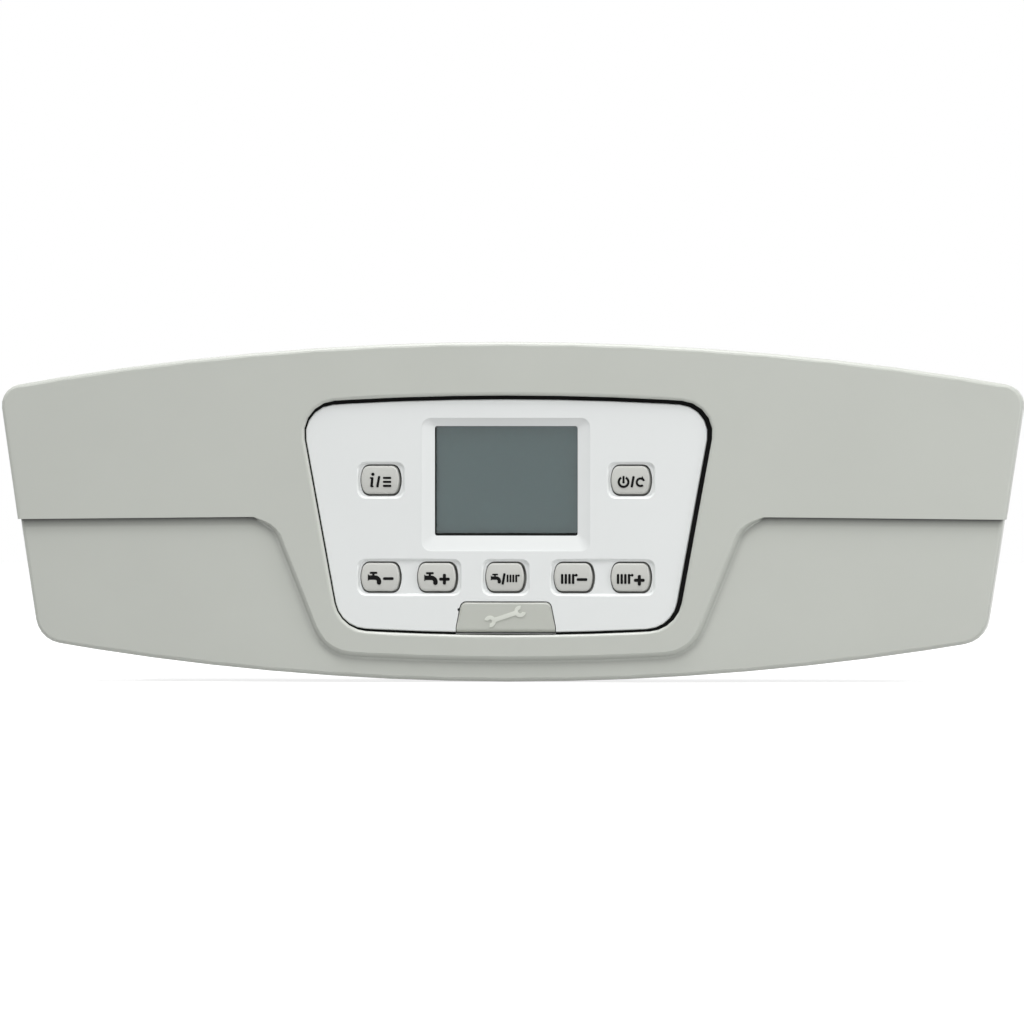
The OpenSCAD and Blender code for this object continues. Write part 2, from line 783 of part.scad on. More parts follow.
module flap_opening() {
    top_half = flap_w / 2 + flap_gap;
    low_half = flap_half + flap_gap;
    corner_r = flap_corner_r + flap_gap;
    along_y(-10, insert_back + past)
        polygon(rounded([[-top_half, well_high, corner_r], [-low_half, flap_z, 0],
            [-low_half, well_low, 0], [low_half, well_low, 0],
            [low_half, flap_z, 0], [top_half, well_high, corner_r]]));
    block([-low_half, -10, insert_bottom - 5], [low_half, flange_front, flap_z]);
    block([-low_half, insert_back - seat_gap, well_low], [low_half, well_back, well_high]);
    rod_y([-top_half - notch_down * tan(flap_lean), well_high - notch_down], notch_r, -10, insert_back);
}

module insert() {
    well_half = flap_half + flap_gap + well_wall;
    color(white)
        on_insert()
            difference() {
                union() {
                    intersection() {
                        rounded_body(inset(aperture_path(), insert_gap), insert_drop, 0.6, fascia_depth);
                        bowed_plate(-10, insert_back);
                    }
                    intersection() {
                        along_y(0, fascia_depth)
                            difference() {
                                union() {
                                    polygon(inset(aperture_path(), insert_gap - flange_w));
                                    for (e = ears) {
                                        translate(e)
                                            circle(ear_r);
                                        translate([e.x - (e.x > 0 ? ear_reach : 0), e.y - ear_r])
                                            square([ear_reach, 2 * ear_r]);
                                    }
                                }
                                polygon(inset(aperture_path(), insert_gap + 4));
                            }
                        bowed_plate(flange_front, flange_back);
                    }
                    for (x = [-board_hole_x, board_hole_x], z = board_hole_z)
                        rod_y([x, z], boss_r, insert_back, display_board_y - seat_gap);
                    block([-well_half, flange_front, well_low - well_floor],
                        [well_half, well_back + well_floor, well_high + well_floor]);
                }
                display_cut();
                pocket(info_at, info_at);
                pocket(power_at, power_at);
                pocket(water_down_at, water_up_at);
                pocket(mode_at, mode_at);
                pocket(heat_down_at, heat_up_at);
                for (k = keys)
                    along_y(-10, fascia_depth)
                        polygon(inset(key_path(k), -key_gap));
                flap_opening();
                rod_x([flap_y, flap_z], flap_stub_r + run_gap, -flap_half - stub_len - move_gap,
                    flap_half + stub_len + move_gap);
                block([-socket_w / 2 - seat_gap, well_back - past, socket_z - socket_h / 2 - seat_gap],
                    [socket_w / 2 + seat_gap, display_board_y, socket_z + socket_h / 2 + seat_gap]);
                for (x = [-board_hole_x, board_hole_x], z = board_hole_z)
                    rod_y([x, z], board_screw_r - seat_gap, display_board_y - 8, display_board_y);
                for (e = ears)
                    rod_y(e, ear_screw_r + seat_gap, 0, fascia_depth);
            }
}

module display_window() {
    w = window_w + 2 * window_lap;
    h = window_h + 2 * window_lap;
    color([0.7, 0.75, 0.75, 0.3])
        on_insert()
            along_y(window_front, window_front + lens_t)
                polygon(box_path([0, window_z], w, h, 1.5));
}

module display_cell() {
    w = window_w + 2 * cell_lap;
    h = window_h + 2 * cell_lap;
    color([0.4, 0.45, 0.42])
        on_insert()
            block([-w / 2, cell_front, window_z - h / 2], [w / 2, cell_front + cell_t, window_z + h / 2]);
}

module backlight() {
    w = window_w + 2 * cell_lap;
    h = window_h + 2 * cell_lap;
    color([0.9, 0.95, 0.9])
        on_insert() {
            block([-w / 2, light_front, window_z - h / 2], [w / 2, light_front + light_t, window_z + h / 2]);
            for (x = [-1, 1], z = [-1, 1])
                rod_y([x * (w / 2 - 4), window_z + z * (h / 2 - 4)], 2,
                    light_front + light_t / 2, display_board_y - seat_gap);
        }
}

module display_carrier() {
    w = window_w + 2 * window_lap;
    h = window_h + 2 * window_lap;
    cell_w = window_w + 2 * cell_lap;
    cell_h = window_h + 2 * cell_lap;
    color(white)
        on_insert()
            difference() {
                along_y(window_front + seat_gap, display_board_y - seat_gap)
                    polygon(box_path([0, window_z], w + 2 * carrier_wall, h + 2 * carrier_wall, 3));
                along_y(window_front - past, cell_front)
                    polygon(box_path([0, window_z], w + 2 * seat_gap, h + 2 * seat_gap, 1.5));
                block([-cell_w / 2 - seat_gap, window_front, window_z - cell_h / 2 - seat_gap],
                    [cell_w / 2 + seat_gap, display_board_y + past, window_z + cell_h / 2 + seat_gap]);
            }
}

module keypad_mat() {
    side = key_outer_x + key_w / 2 - 1;
    near = window_w / 2 + window_lap + carrier_wall + 1;
    low = key_lower_z - key_h / 2 - 1;
    mid = key_lower_z + key_h / 2 + 1;
    high = key_upper_z + key_h / 2 + 2;
    color([0.6, 0.62, 0.64])
        on_insert() {
            along_y(display_board_y - mat_t, display_board_y - seat_gap)
                polygon([[-side, low], [side, low], [side, high], [near, high], [near, mid],
                    [-near, mid], [-near, high], [-side, high]]);
            for (k = keys)
                translate([k.x, display_board_y - mat_t + seat_gap, k.y])
                    rotate([90, 0, 0])
                        cylinder(r1 = dome_r, r2 = dome_top_r, h = dome_h + seat_gap);
        }
}

// Key that slides away from the viewer
module key(at) {
    p = key_path(at);
    r = 0.8;
    flange_y = insert_back + bow_y(abs(at.x) + key_w / 2 + key_flange) + move_gap;
    color(key_grey)
        on_insert() {
            intersection() {
                loft(concat(rim(p, key_level, r, 1), [flat_ring(p, 0, flange_y + key_flange_t / 2)]));
                bowed(key_level, fascia_depth);
            }
            along_y(flange_y, flange_y + key_flange_t)
                polygon(inset(p, -key_flange));
            rod_y(at, stem_r, flange_y + key_flange_t / 2, dome_front - stem_gap);
        }
}

module key_info() {
    key(info_at);
}

module key_power() {
    key(power_at);
}

module key_water_down() {
    key(water_down_at);
}

module key_water_up() {
    key(water_up_at);
}

module key_mode() {
    key(mode_at);
}

module key_heat_down() {
    key(heat_down_at);
}

module key_heat_up() {
    key(heat_up_at);
}

module display_board() {
    color(board_green)
        on_insert()
            difference() {
                block([-display_board_w / 2, display_board_y, board_bottom],
                    [display_board_w / 2, display_board_y + board_t, board_top]);
                for (x = [-board_hole_x, board_hole_x], z = board_hole_z)
                    rod_y([x, z], board_screw_r + seat_gap, 0, fascia_depth);
            }
}

module display_parts() {
    // Chips and two coils on the back of the display board
    y = display_board_y + board_t + seat_gap;
    color(black)
        on_insert() {
            block([-37, y, window_z - chip_h], [chip_w - 37, y + chip_t, window_z]);
            block([20, y, window_z - 6], [20 + small_chip, y + chip_t, window_z + small_chip - 6]);
            block([-46, y, key_lower_z], [small_chip - 46, y + 2.4, key_lower_z + chip_h]);
            block([34, y, key_lower_z - 2], [34 + small_chip, y + 3, key_lower_z + small_chip - 2]);
            for (x = [-44, 44])
                rod_y([x, window_z + chip_h], coil_r, y, y + coil_d);
        }
}

module display_screws() {
    seat = display_board_y + board_t + seat_gap;
    color(steel)
        on_insert()
            for (x = [-board_hole_x, board_hole_x], z = board_hole_z)
                screw([x, z], board_screw_r - 2 * seat_gap, 2.8, seat - 8, seat);
}

module insert_screws() {
    color(steel)
        on_insert()
            for (e = ears) {
                seat = flange_back + bow_y(abs(e.x) + 2.6) + seat_gap;
                screw(e, ear_screw_r - 2 * seat_gap, 2.6, bow_y(e.x) + flange_front - ear_screw_in, seat);
            }
}

module service_flap() {
    color(key_grey)
        on_insert() {
            intersection() {
                along_x(-flap_half, flap_half)
                    union() {
                        polygon(circle_path(flap_y, flap_z, flap_barrel_r, 40));
                        translate([flap_front, flap_z])
                            square([flap_t, flap_top - flap_z]);
                    }
                along_y(0, fascia_depth)
                    polygon(rounded([
                        [-flap_half, insert_bottom - past, 0], [flap_half, insert_bottom - past, 0],
                        [flap_half, flap_z, 0], [flap_w / 2, flap_top, flap_corner_r],
                        [-flap_w / 2, flap_top, flap_corner_r], [-flap_half, flap_z, 0]]));
                union() {
                    block([-barrel_half, 0, insert_bottom - past], [barrel_half, fascia_depth, flap_top]);
                    block([-flap_half, 0, insert_bottom - past], [flap_half, flap_y - seat_gap, flap_top]);
                }
            }
            rod_x([flap_y, flap_z], flap_stub_r, -flap_half - stub_len, flap_half + stub_len);
        }
}

module service_socket() {
    half_w = socket_w / 2 - socket_wall;
    half_h = socket_h / 2 - socket_wall;
    floor_y = socket_front + socket_depth;
    color(black)
        on_insert()
            difference() {
                block([-socket_w / 2, socket_front, socket_z - socket_h / 2],
                    [socket_w / 2, display_board_y - seat_gap, socket_z + socket_h / 2]);
                block([-half_w, socket_front - past, socket_z - half_h],
                    [half_w, floor_y, socket_z + half_h]);
                block([-2, socket_front - past, socket_z], [2, floor_y, socket_z + socket_h]);
            }
}

module socket_contacts() {
    floor_y = socket_front + socket_depth;
    color([0.85, 0.7, 0.3])
        on_insert()
            for (i = [0:contacts - 1])
                translate([(i - (contacts - 1) / 2) * contact_pitch, 0, socket_z])
                    block([-0.3, floor_y - contact_len, -0.3], [0.3, floor_y, 0.3]);
}

module ribbon_cable() {
    steps = 16;
    color([0.55, 0.57, 0.6])
        panel()
            along_x(2 - connector_half, connector_half - 2)
                polygon(strip([for (i = [0:steps]) let (t = i / steps)
                    [ribbon_from.x + seat_gap + t * (ribbon_to.x - ribbon_from.x - 2 * seat_gap),
                    ribbon_from.y + (ribbon_to.y - ribbon_from.y) * (1 - cos(180 * t)) / 2]], 0.9));
}

module ribbon_connectors() {
    color(black)
        panel() {
            block([-connector_half, display_board_y + board_t + seat_gap, ribbon_from.y - connector_h],
                [connector_half, ribbon_from.x, ribbon_from.y + connector_h]);
            block([-connector_half, ribbon_to.x, ribbon_to.y - connector_h],
                [connector_half, board_front - seat_gap, ribbon_to.y + connector_h]);
        }
}

module knuckle(x) {
    // One knuckle of the housing's half of the hinge
    rod_x([hinge_y, hinge_z], knuckle_r, x - knuckle_w / 2, x + knuckle_w / 2);
    block([x - knuckle_w / 2, box_back - past, hinge_z], [x + knuckle_w / 2, hinge_y, hinge_z + knuckle_r]);
}

module housing() {
    root = box_w / 2 - box_wall;
    color([0.2, 0.2, 0.21])
        panel()
            difference() {
                union() {
                    difference() {
                        union() {
                            along_y(plate_front, plate_back)
                                polygon(inset(fascia_path(), step_jog + skin + flange_gap));
                            along_y(plate_front, box_back)
                                polygon(box_path([0, box_z], box_w, box_h, box_corner_r));
                        }
                        along_y(plate_front - past, box_inside)
                            polygon(box_path([0, box_z], box_w - 2 * box_wall, box_h - 2 * box_wall,
                                box_corner_r - box_wall));
                        block([-wiring_w / 2, box_inside - past, wiring_bottom],
                            [wiring_w / 2, box_back + past, wiring_top]);
                    }
                    for (p = posts)
                        rod_y(p, post_r, board_back + seat_gap, box_back - box_wall / 2);
                    rod_x([pivot_y, pivot_z], pivot_boss_r, root, root + pivot_boss_len + box_wall);
                    rod_x([pivot_y, pivot_z], pivot_boss_r, -root - pivot_boss_len - box_wall, -root);
                    for (x = [-hinge_x, hinge_x], k = [-1, 1])
                        knuckle(x + k * knuckle_pitch);
                    for (x = [-hinge_x, hinge_x])
                        block([x - 1.6 * knuckle_pitch, box_inside - hinge_pad_t, hinge_z - 2 * knuckle_r],
                            [x + 1.6 * knuckle_pitch, box_inside + past, hinge_z + 2 * knuckle_r]);
                    for (x = clamp_posts)
                        translate([x, entry_y, box_bottom + box_wall / 2])
                            cylinder(r = clamp_post_r, h = clamp_z - box_bottom - box_wall / 2);
                }
                for (b = fascia_bosses)
                    rod_y(b, fascia_screw_r + 2 * seat_gap, plate_front - past, plate_back + past);
                for (p = posts)
                    rod_y(p, board_screw_r - seat_gap, board_back - past, board_back + 9);
                rod_x([pivot_y, pivot_z], pivot_root_r + seat_gap, -box_w, box_w);
                rod_x([hinge_y, hinge_z], hinge_pin_r + run_gap, -box_w / 2, box_w / 2);
                for (x = [-hinge_x, hinge_x]) {
                    rod_x([hinge_y, hinge_z], knuckle_r + move_gap, x - knuckle_w / 2 - move_gap,
                        x + knuckle_w / 2 + move_gap);
                    rod_x([hinge_y, hinge_z], pin_head_r + seat_gap, x - knuckle_pitch - knuckle_w / 2 - 1.6,
                        x - knuckle_pitch - knuckle_w / 2);
                }
                for (x = entry_x)
                    translate([x, entry_y, box_bottom - past])
                        cylinder(r = entry_r, h = box_wall + 2 * past);
                for (x = [-catch_spacing / 2, catch_spacing / 2])
                    translate([x, lug_y - lug_foot / 2, box_top - box_wall - past])
                        cylinder(r = lug_peg_r + seat_gap, h = box_wall + 2 * past);
                for (x = clamp_posts)
                    translate([x, entry_y, clamp_z - 8])
                        cylinder(r = board_screw_r - seat_gap, h = 8 + past);
                for (x = [-3:3], s = [-1, 1])
                    translate([s * 70 + x * vent_pitch, plate_back + 12, 0])
                        block([-vent_w / 2, 0, box_top - box_wall - past],
                            [vent_w / 2, vent_h, box_top + past]);
            }
}

module catch_lugs() {
    // Two lugs on the box's top, each with a foot that it stands on
    color([0.2, 0.2, 0.21])
        panel()
            for (x = [-catch_spacing / 2, catch_spacing / 2])
                difference() {
                    union() {
                        rod_y([x, lug_z], lug_r, lug_y, lug_y + lug_t);
                        block([x - lug_r, lug_y, box_top + seat_gap], [x + lug_r, lug_y + lug_t, lug_z]);
                        block([x - lug_r, lug_y - lug_foot, box_top + seat_gap],
                            [x + lug_r, lug_y + lug_t, box_top + lug_foot_t]);
                        translate([x, lug_y - lug_foot / 2, 0]) {
                            along_z(box_top - box_wall - 2, box_top + lug_foot_t)
                                circle(lug_peg_r);
                            along_z(box_top - box_wall - 2, box_top - box_wall - seat_gap)
                                circle(lug_peg_r + 0.9);
                        }
                    }
                    rod_y([x, lug_z], catch_hole_r, lug_y - past, lug_y + lug_t + past);
                }
}

module pivot_pins() {
    root = box_w / 2 - box_wall;
    free = box_w / 2 + pivot_boss_len;
    color(steel)
        panel()
            for (s = [0, 180])
                translate([0, pivot_y, pivot_z])
                    rotate([0, 0, s])
                        rotate([0, 90, 0])
                            rotate_extrude()
                                polygon([
                                    [0, root - 2.5], [pivot_head_r, root - 2.5],
                                    [pivot_head_r, root - seat_gap], [pivot_root_r, root - seat_gap],
                                    [pivot_root_r, free], [pivot_r, free],
                                    [pivot_r, free + pivot_len - past], [pivot_r - past, free + pivot_len],
                                    [0, free + pivot_len]]);
}

module main_board() {
    color(board_green)
        panel()
            difference() {
                block([main_left, board_front, main_low], [main_right, board_back, main_high]);
                for (p = posts)
                    rod_y(p, board_screw_r + seat_gap, 0, box_back);
            }
}

module board_screws() {
    // Heads in front of the board, shanks back into the housing's posts
    color(steel)
        panel()
            for (p = posts)
                translate([0, 2 * board_front - seat_gap, 0])
                    mirror([0, 1, 0])
                        screw(p, board_screw_r - 2 * seat_gap, 2.8, board_front - board_t - 8, board_front);
}

module transformer() {
    y = parts_y;
    left = main_left + terminal_from_side + core_in;
    high = main_high - core_in;
    color([0.45, 0.4, 0.3])
        panel()
            difference() {
                union() {
                    block([left, y, high - transformer_h + core_in],
                        [left + transformer_w, y + transformer_d, high - core_in]);
                    block([left + core_in, y, high - transformer_h],
                        [left + transformer_w - core_in, y + transformer_d - 3, high]);
                }
                for (x = [left + 2, left + transformer_w - 2])
                    rod_y([x, high - transformer_h / 2], 1, y + transformer_d - 6, y + transformer_d + past);
            }
}

module relays() {
    y = parts_y;
    left = main_left + terminal_from_side + transformer_w + 2 * core_in + relay_gap;
    high = main_high - relay_from_high;
    color([0.12, 0.14, 0.3])
        panel()
            for (i = [0:3])
                translate([left + i * (relay_w + relay_gap), 0, high - relay_h])
                    difference() {
                        block([0, y, 0], [relay_w, y + relay_d, relay_h]);
                        rod_y([relay_w - 2.5, relay_h - 2.5], 0.8, y + relay_d - past, y + relay_d + past);
                    }
}

module capacitors() {
    y = parts_y;
    high = main_high - relay_from_high;
    left = main_left + terminal_from_side + transformer_w + 2 * core_in + 4 * relay_w + 6 * relay_gap;
    cans = [[left + capacitor_r, high - capacitor_r, capacitor_r, capacitor_d],
        [left + 2 * capacitor_r + small_r + 2, high - small_r, small_r, small_d],
        [left + 2 * capacitor_r + small_r + 2, high - 3 * small_r - 2, small_r, small_d]];
    color([0.15, 0.17, 0.2])
        panel()
            for (c = cans)
                difference() {
                    rod_y([c[0], c[1]], c[2], y, y + c[3]);
                    for (a = [0, 90])
                        translate([c[0], y + c[3] - 0.3, c[1]])
                            rotate([0, a, 0])
                                block([-c[2] / 2, 0, -0.2], [c[2] / 2, past, 0.2]);
                }
}

module fuse_holder() {
    y = parts_y;
    color(black)
        panel()
            translate([fuse_x, 0, fuse_z])
                difference() {
                    block([-fuse_w / 2, y, -fuse_h / 2], [fuse_w / 2, y + fuse_d, fuse_h / 2]);
                    block([4 - fuse_w / 2, y + 3, -fuse_r - 0.6],
                        [fuse_w / 2 - 4, y + fuse_d + past, fuse_r + 0.6]);
                    rod_x([y + fuse_d - 3, 0], fuse_r + seat_gap, 1.5 - fuse_w / 2, fuse_w / 2 - 1.5);
                }
}

module fuse() {
    color([0.8, 0.85, 0.85])
        panel()
            rod_x([parts_y + fuse_d - 3, fuse_z], fuse_r, fuse_x - fuse_w / 2 + 2, fuse_x + fuse_w / 2 - 2);
}

module heatsink() {
    y = parts_y;
    left = main_right - sink_w - sink_from_side;
    high = main_high - relay_from_high;
    step = (sink_w - fin_t) / (fins - 1);
    color([0.6, 0.62, 0.64])
        panel() {
            block([left, y, high - sink_h], [left + sink_w, y + sink_base, high]);
            for (i = [0:fins - 1])
                block([left + i * step, y + sink_base - 1, high - sink_h],
                    [left + i * step + fin_t, y + sink_d, high]);
        }
}

module control_chips() {
    y = parts_y;
    low = parts_low + 3;
    left = fuse_x + fuse_w / 2 + 8;
    right = main_right - sink_from_side + 4;
    high = main_high - relay_from_high;
    color(black)
        panel() {
            block([left, y, low], [left + chip_w, y + chip_t, low + chip_h]);
            block([left + 28, y, low], [left + 28 + small_chip, y + chip_t, low + small_chip]);
            block([left + 44, y, low + 1], [left + 44 + small_chip, y + chip_t, low + 1 + small_chip]);
            block([right, y, high - sink_h], [right + driver_w, y + driver_d, high]);
            rod_y([right + driver_w + buzzer, high - buzzer], buzzer / 2, y, y + buzzer);
        }
}

module terminal_blocks() {
    y = parts_y;
    color([0.25, 0.45, 0.3])
        panel()
            for (x = terminal_x)
                difference() {
                    block([x - terminal_w / 2, y, terminal_z],
                        [x + terminal_w / 2, y + terminal_d, terminal_z + terminal_h]);
                    for (i = [0:ways - 1])
                        translate([x + (i - (ways - 1) / 2) * terminal_pitch, 0, terminal_z]) {
                            block([-wire_hole / 2, y + 5, -past], [wire_hole / 2, y + 5 + wire_hole, 9]);
                            rod_y([0, terminal_h / 2], screw_hole_r, y + 7.5, y + terminal_d + past);
                        }
                }
}

module terminal_screws() {
    y = parts_y + 11;
    r = screw_hole_r - seat_gap;
    color(steel)
        panel()
            for (x = terminal_x, i = [0:ways - 1])
                translate([x + (i - (ways - 1) / 2) * terminal_pitch, 0, terminal_z + terminal_h / 2])
                    difference() {
                        rod_y([0, 0], r, y - 2, y + 2);
                        block([-r - past, y + 1, -0.35], [r + past, y + 2 + past, 0.35]);
                    }
}

module signal_connectors() {
    y = parts_y;
    low = parts_low - terminal_h / 2 - signal_h / 2;
    left = main_right - terminal_from_side - signals * (signal_w + signal_gap);
    color([0.85, 0.85, 0.8])
        panel()
            for (i = [0:signals - 1])
                translate([left + i * (signal_w + signal_gap), 0, low])
                    difference() {
                        block([0, y, 0], [signal_w, y + signal_d, signal_h]);
                        block([1, y + 3, 1], [signal_w - 1, y + signal_d + past, signal_h - 1]);
                    }
}

module cable_grommets() {
    color(black)
        panel()
            for (x = entry_x)
                translate([x, entry_y, box_bottom])
                    rotate_extrude()
                        polygon([[0, box_wall + grommet_lip - grommet_cap],
                            [grommet_bore_r, box_wall + grommet_lip - grommet_cap],
                            [grommet_bore_r, -grommet_lip], [entry_r + 1, -grommet_lip],
                            [entry_r + 2, 1 - grommet_lip], [entry_r + 2, -seat_gap],
                            [entry_r - seat_gap, -seat_gap], [entry_r - seat_gap, box_wall + seat_gap],
                            [entry_r + 1.5, box_wall + seat_gap], [entry_r, box_wall + grommet_lip],
                            [0, box_wall + grommet_lip]]);
}

module cable_clamps() {
    color(white)
        panel()
            for (x = clamp_x)
                difference() {
                    block([x - clamp_reach - 5, entry_y - 5, clamp_z + seat_gap],
                        [x + clamp_reach + 5, entry_y + 5, clamp_z + clamp_t]);
                    for (s = [-1, 1])
                        translate([x + s * clamp_reach, entry_y, clamp_z - past])
                            cylinder(r = board_screw_r + seat_gap, h = clamp_t + 2 * past);
                    for (s = [-1, 1])
                        translate([x + s * 15, entry_y - 6, clamp_z - 3])
                            rotate([-90, 0, 0])
                                cylinder(r = 4.4, h = 12);
                }
}

module clamp_screws() {
    color(steel)
        panel()
            for (x = clamp_posts)
                translate([x, entry_y, clamp_z + clamp_t + seat_gap])
                    difference() {
                        union() {
                            translate([0, 0, -9])
                                cylinder(r = board_screw_r - 2 * seat_gap, h = 10);
                            cylinder(r = 3, h = screw_head);
                        }
                        block([-2, -0.35, 1], [2, 0.35, screw_head + past]);
                    }
}

module fascia_screws() {
    color(steel)
        panel()
            for (b = fascia_bosses)
                screw(b, fascia_screw_r - 2 * seat_gap, 3.2, plate_front - fascia_screw_in,
                    plate_back + seat_gap);
}

module wiring_cover() {
    low = wiring_bottom - cover_lap;
    high = wiring_top + cover_lap;
    half = wiring_w / 2 + cover_lap;
    color([0.24, 0.24, 0.25])
        panel()
            difference() {
                union() {
                    along_y(cover_front, cover_front + cover_t)
                        polygon(box_path([0, (low + high) / 2], 2 * half, high - low, 2));
                    for (z = [low + 6, high - 6])
                        block([-half + 8, cover_front + cover_t - 0.5, z - 0.8],
                            [half - 8, cover_front + cover_t + 1.2, z + 0.8]);
                    block([-14, cover_front + cover_t / 2, low], [14, cover_front + cover_t + 5, low + 1.8]);
                    for (x = [-hinge_x, hinge_x]) {
                        rod_x([hinge_y, hinge_z], knuckle_r, x - knuckle_w / 2, x + knuckle_w / 2);
                        block([x - knuckle_w / 2, cover_front, high - past],
                            [x + knuckle_w / 2, cover_front + cover_t, hinge_z]);
                    }
                }
                rod_x([hinge_y, hinge_z], hinge_pin_r + run_gap, -box_w / 2, box_w / 2);
            }
}

module hinge_pins() {
    reach = knuckle_pitch + knuckle_w / 2;
    color(steel)
        panel()
            for (x = [-hinge_x, hinge_x]) {
                rod_x([hinge_y, hinge_z], hinge_pin_r, x - reach - 1, x + reach + 0.5);
                rod_x([hinge_y, hinge_z], pin_head_r, x - reach - 1.4, x - reach - 0.3);
            }
}

fascia();
insert_seal();
insert();
display_window();
display_cell();
display_carrier();
backlight();
keypad_mat();
key_info();
key_power();
key_water_down();
key_water_up();
key_mode();
key_heat_down();
key_heat_up();
display_board();
display_parts();
display_screws();
insert_screws();
service_flap();
service_socket();
socket_contacts();
ribbon_cable();
ribbon_connectors();
housing();
catch_lugs();
pivot_pins();
main_board();
board_screws();
transformer();
relays();
capacitors();
fuse_holder();
fuse();
heatsink();
control_chips();
terminal_blocks();
terminal_screws();
signal_connectors();
cable_grommets();
cable_clamps();
clamp_screws();
fascia_screws();
wiring_cover();
hinge_pins();
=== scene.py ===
import json
import math

import bpy
from bpy.props import FloatProperty, FloatVectorProperty, PointerProperty
from bpy.types import Operator, Panel, PropertyGroup
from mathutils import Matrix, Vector


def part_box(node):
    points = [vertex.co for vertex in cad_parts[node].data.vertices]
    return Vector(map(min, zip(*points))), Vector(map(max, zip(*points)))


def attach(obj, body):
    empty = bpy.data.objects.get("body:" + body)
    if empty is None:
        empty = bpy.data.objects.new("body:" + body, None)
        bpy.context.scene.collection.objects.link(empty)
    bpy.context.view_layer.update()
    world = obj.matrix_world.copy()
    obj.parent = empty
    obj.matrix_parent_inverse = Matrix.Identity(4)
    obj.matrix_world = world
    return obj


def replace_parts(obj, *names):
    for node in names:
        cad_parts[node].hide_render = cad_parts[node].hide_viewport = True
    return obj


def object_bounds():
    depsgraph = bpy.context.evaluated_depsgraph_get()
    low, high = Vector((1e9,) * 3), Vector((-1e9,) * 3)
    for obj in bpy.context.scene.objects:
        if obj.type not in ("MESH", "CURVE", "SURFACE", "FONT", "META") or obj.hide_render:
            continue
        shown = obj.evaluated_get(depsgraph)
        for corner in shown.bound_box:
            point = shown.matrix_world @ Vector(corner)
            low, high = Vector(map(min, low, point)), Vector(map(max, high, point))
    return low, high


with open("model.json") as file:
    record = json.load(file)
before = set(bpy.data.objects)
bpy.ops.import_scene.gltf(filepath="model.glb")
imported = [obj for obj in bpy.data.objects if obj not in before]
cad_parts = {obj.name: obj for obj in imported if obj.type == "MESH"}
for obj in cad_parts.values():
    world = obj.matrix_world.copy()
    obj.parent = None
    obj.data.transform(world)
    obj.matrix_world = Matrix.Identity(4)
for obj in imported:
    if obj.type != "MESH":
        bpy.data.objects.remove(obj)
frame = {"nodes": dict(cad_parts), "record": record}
CAD_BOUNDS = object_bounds()

bl_info = {
    "name": "Boiler control panel",
    "version": (1, 0, 0),
    "blender": (4, 5, 0),
    "location": "View3D > Sidebar > Boiler Panel",
    "description": "Dresses the control panel of a condensing boiler: shells, signs, display and studio",
    "category": "Object",
}

MM = 0.001
KEYS = (
    "key_info", "key_power", "key_water_down", "key_water_up",
    "key_mode", "key_heat_down", "key_heat_up",
)

# The fascia's bowed front, in metres
BOW_RADIUS = 1.35
FRONT_Y = -0.078

# The raised zone's edge, in millimetres: its lip on the wings falls slightly outwards
STEP_LIP = -56.95
LIP_FALL = 0.0112
LIP_START = 114
LIP_END = 211.2
LIP_LOW = -57.7
LIP_MIDDLE = -55.75
LIP_HIGH = -54.5
LIP_DEPTH = 2.0
DIP_END = 132
WING_START = 109
SHOULDER_X = 112
SHOULDER_RADIUS = 17
FOOT_X = 66.5
FOOT_RADIUS = 15.06
STEP_LEAN = 1.17
SLOPE_DEPTH = 2.4
FUNNEL_TURN = 1.19
FUNNEL_SINE = 0.928

# Where the slope runs round the funnel's shoulder, side and foot: least and most x, least and most z
SHOULDER_AREA = (95.5, 109.4, -66, LIP_HIGH)
SIDE_AREA = (78, 99.5, -106, -63)
FOOT_AREA = (-1, 83.3, -117.5, -102.5)

# The opening's side, in millimetres: how far out it is at one height, and how much it leans
OPENING_X = 77
OPENING_Z = -84.45
OPENING_LEAN = 0.1845

# Shading: the least flat face in square millimetres, and the turns in degrees that make a crease
LARGE_FACE = 6.0
FLAT_CREASE = 4.0
EDGE_CREASE = 24.0
ROUND_ANGLE = 34

# Depths in the frame in front of which the keys' caps and their faces lie, in metres
CAP_BACK = -0.072
CAP_FACE = -0.0735

# The flap's face and its rim, and the top and middle of its rolled lower edge, in metres
FLAP_FACE = -0.0758
FLAP_RIM = -0.07592
FLAP_ROLL_TOP = -0.1038
FLAP_ROLL_Y = -0.07393
FLAP_ROLL_Z = -0.1039

# Signs are drawn with one unit for a millimetre and made this deep
SIGN_DEPTH = 0.35

# Bands in a unit of a wave texture whose scale is 1
WAVE_RATE = 3.183

# How dark the painted shade makes a colour deep in a corner
PAINTED_CORNER_SHADE = 0.18

# Lamps: name, place, size and share of the lamp power
LAMPS = (
    ("studio_top", (-0.15, -1.0, 1.7), 0.8, 0.65),
    ("studio_high", (-0.1, -0.35, 1.9), 1.2, 0.74),
    ("studio_right", (1.9, -0.75, 0.1), 0.6, 0.40),
)
LAMP_AIM = (0, -0.05, -0.055)
FLOOR_SIZE = 8
FLOOR_GAP = 0.0005
FLOOR_LIFT = 0.80


# Settings that a user may change

class PanelShellSettings(PropertyGroup):
    """Softness of the moulded edges"""

    insert_edge: FloatProperty(
        name="Insert edge", description="Rounding of the edges of the insert's pockets and display bevel",
        default=0.2 * MM, min=0.05 * MM, max=0.6 * MM, unit="LENGTH", precision=5)
    key_edge: FloatProperty(
        name="Key edge", description="Rounding of the keys' sharp edges",
        default=0.2 * MM, min=0.05 * MM, max=0.5 * MM, unit="LENGTH", precision=5)
    cover_edge: FloatProperty(
        name="Cover edge", description="Rounding of the catch lugs' and the wiring cover's sharp edges",
        default=0.3 * MM, min=0.05 * MM, max=0.6 * MM, unit="LENGTH", precision=5)


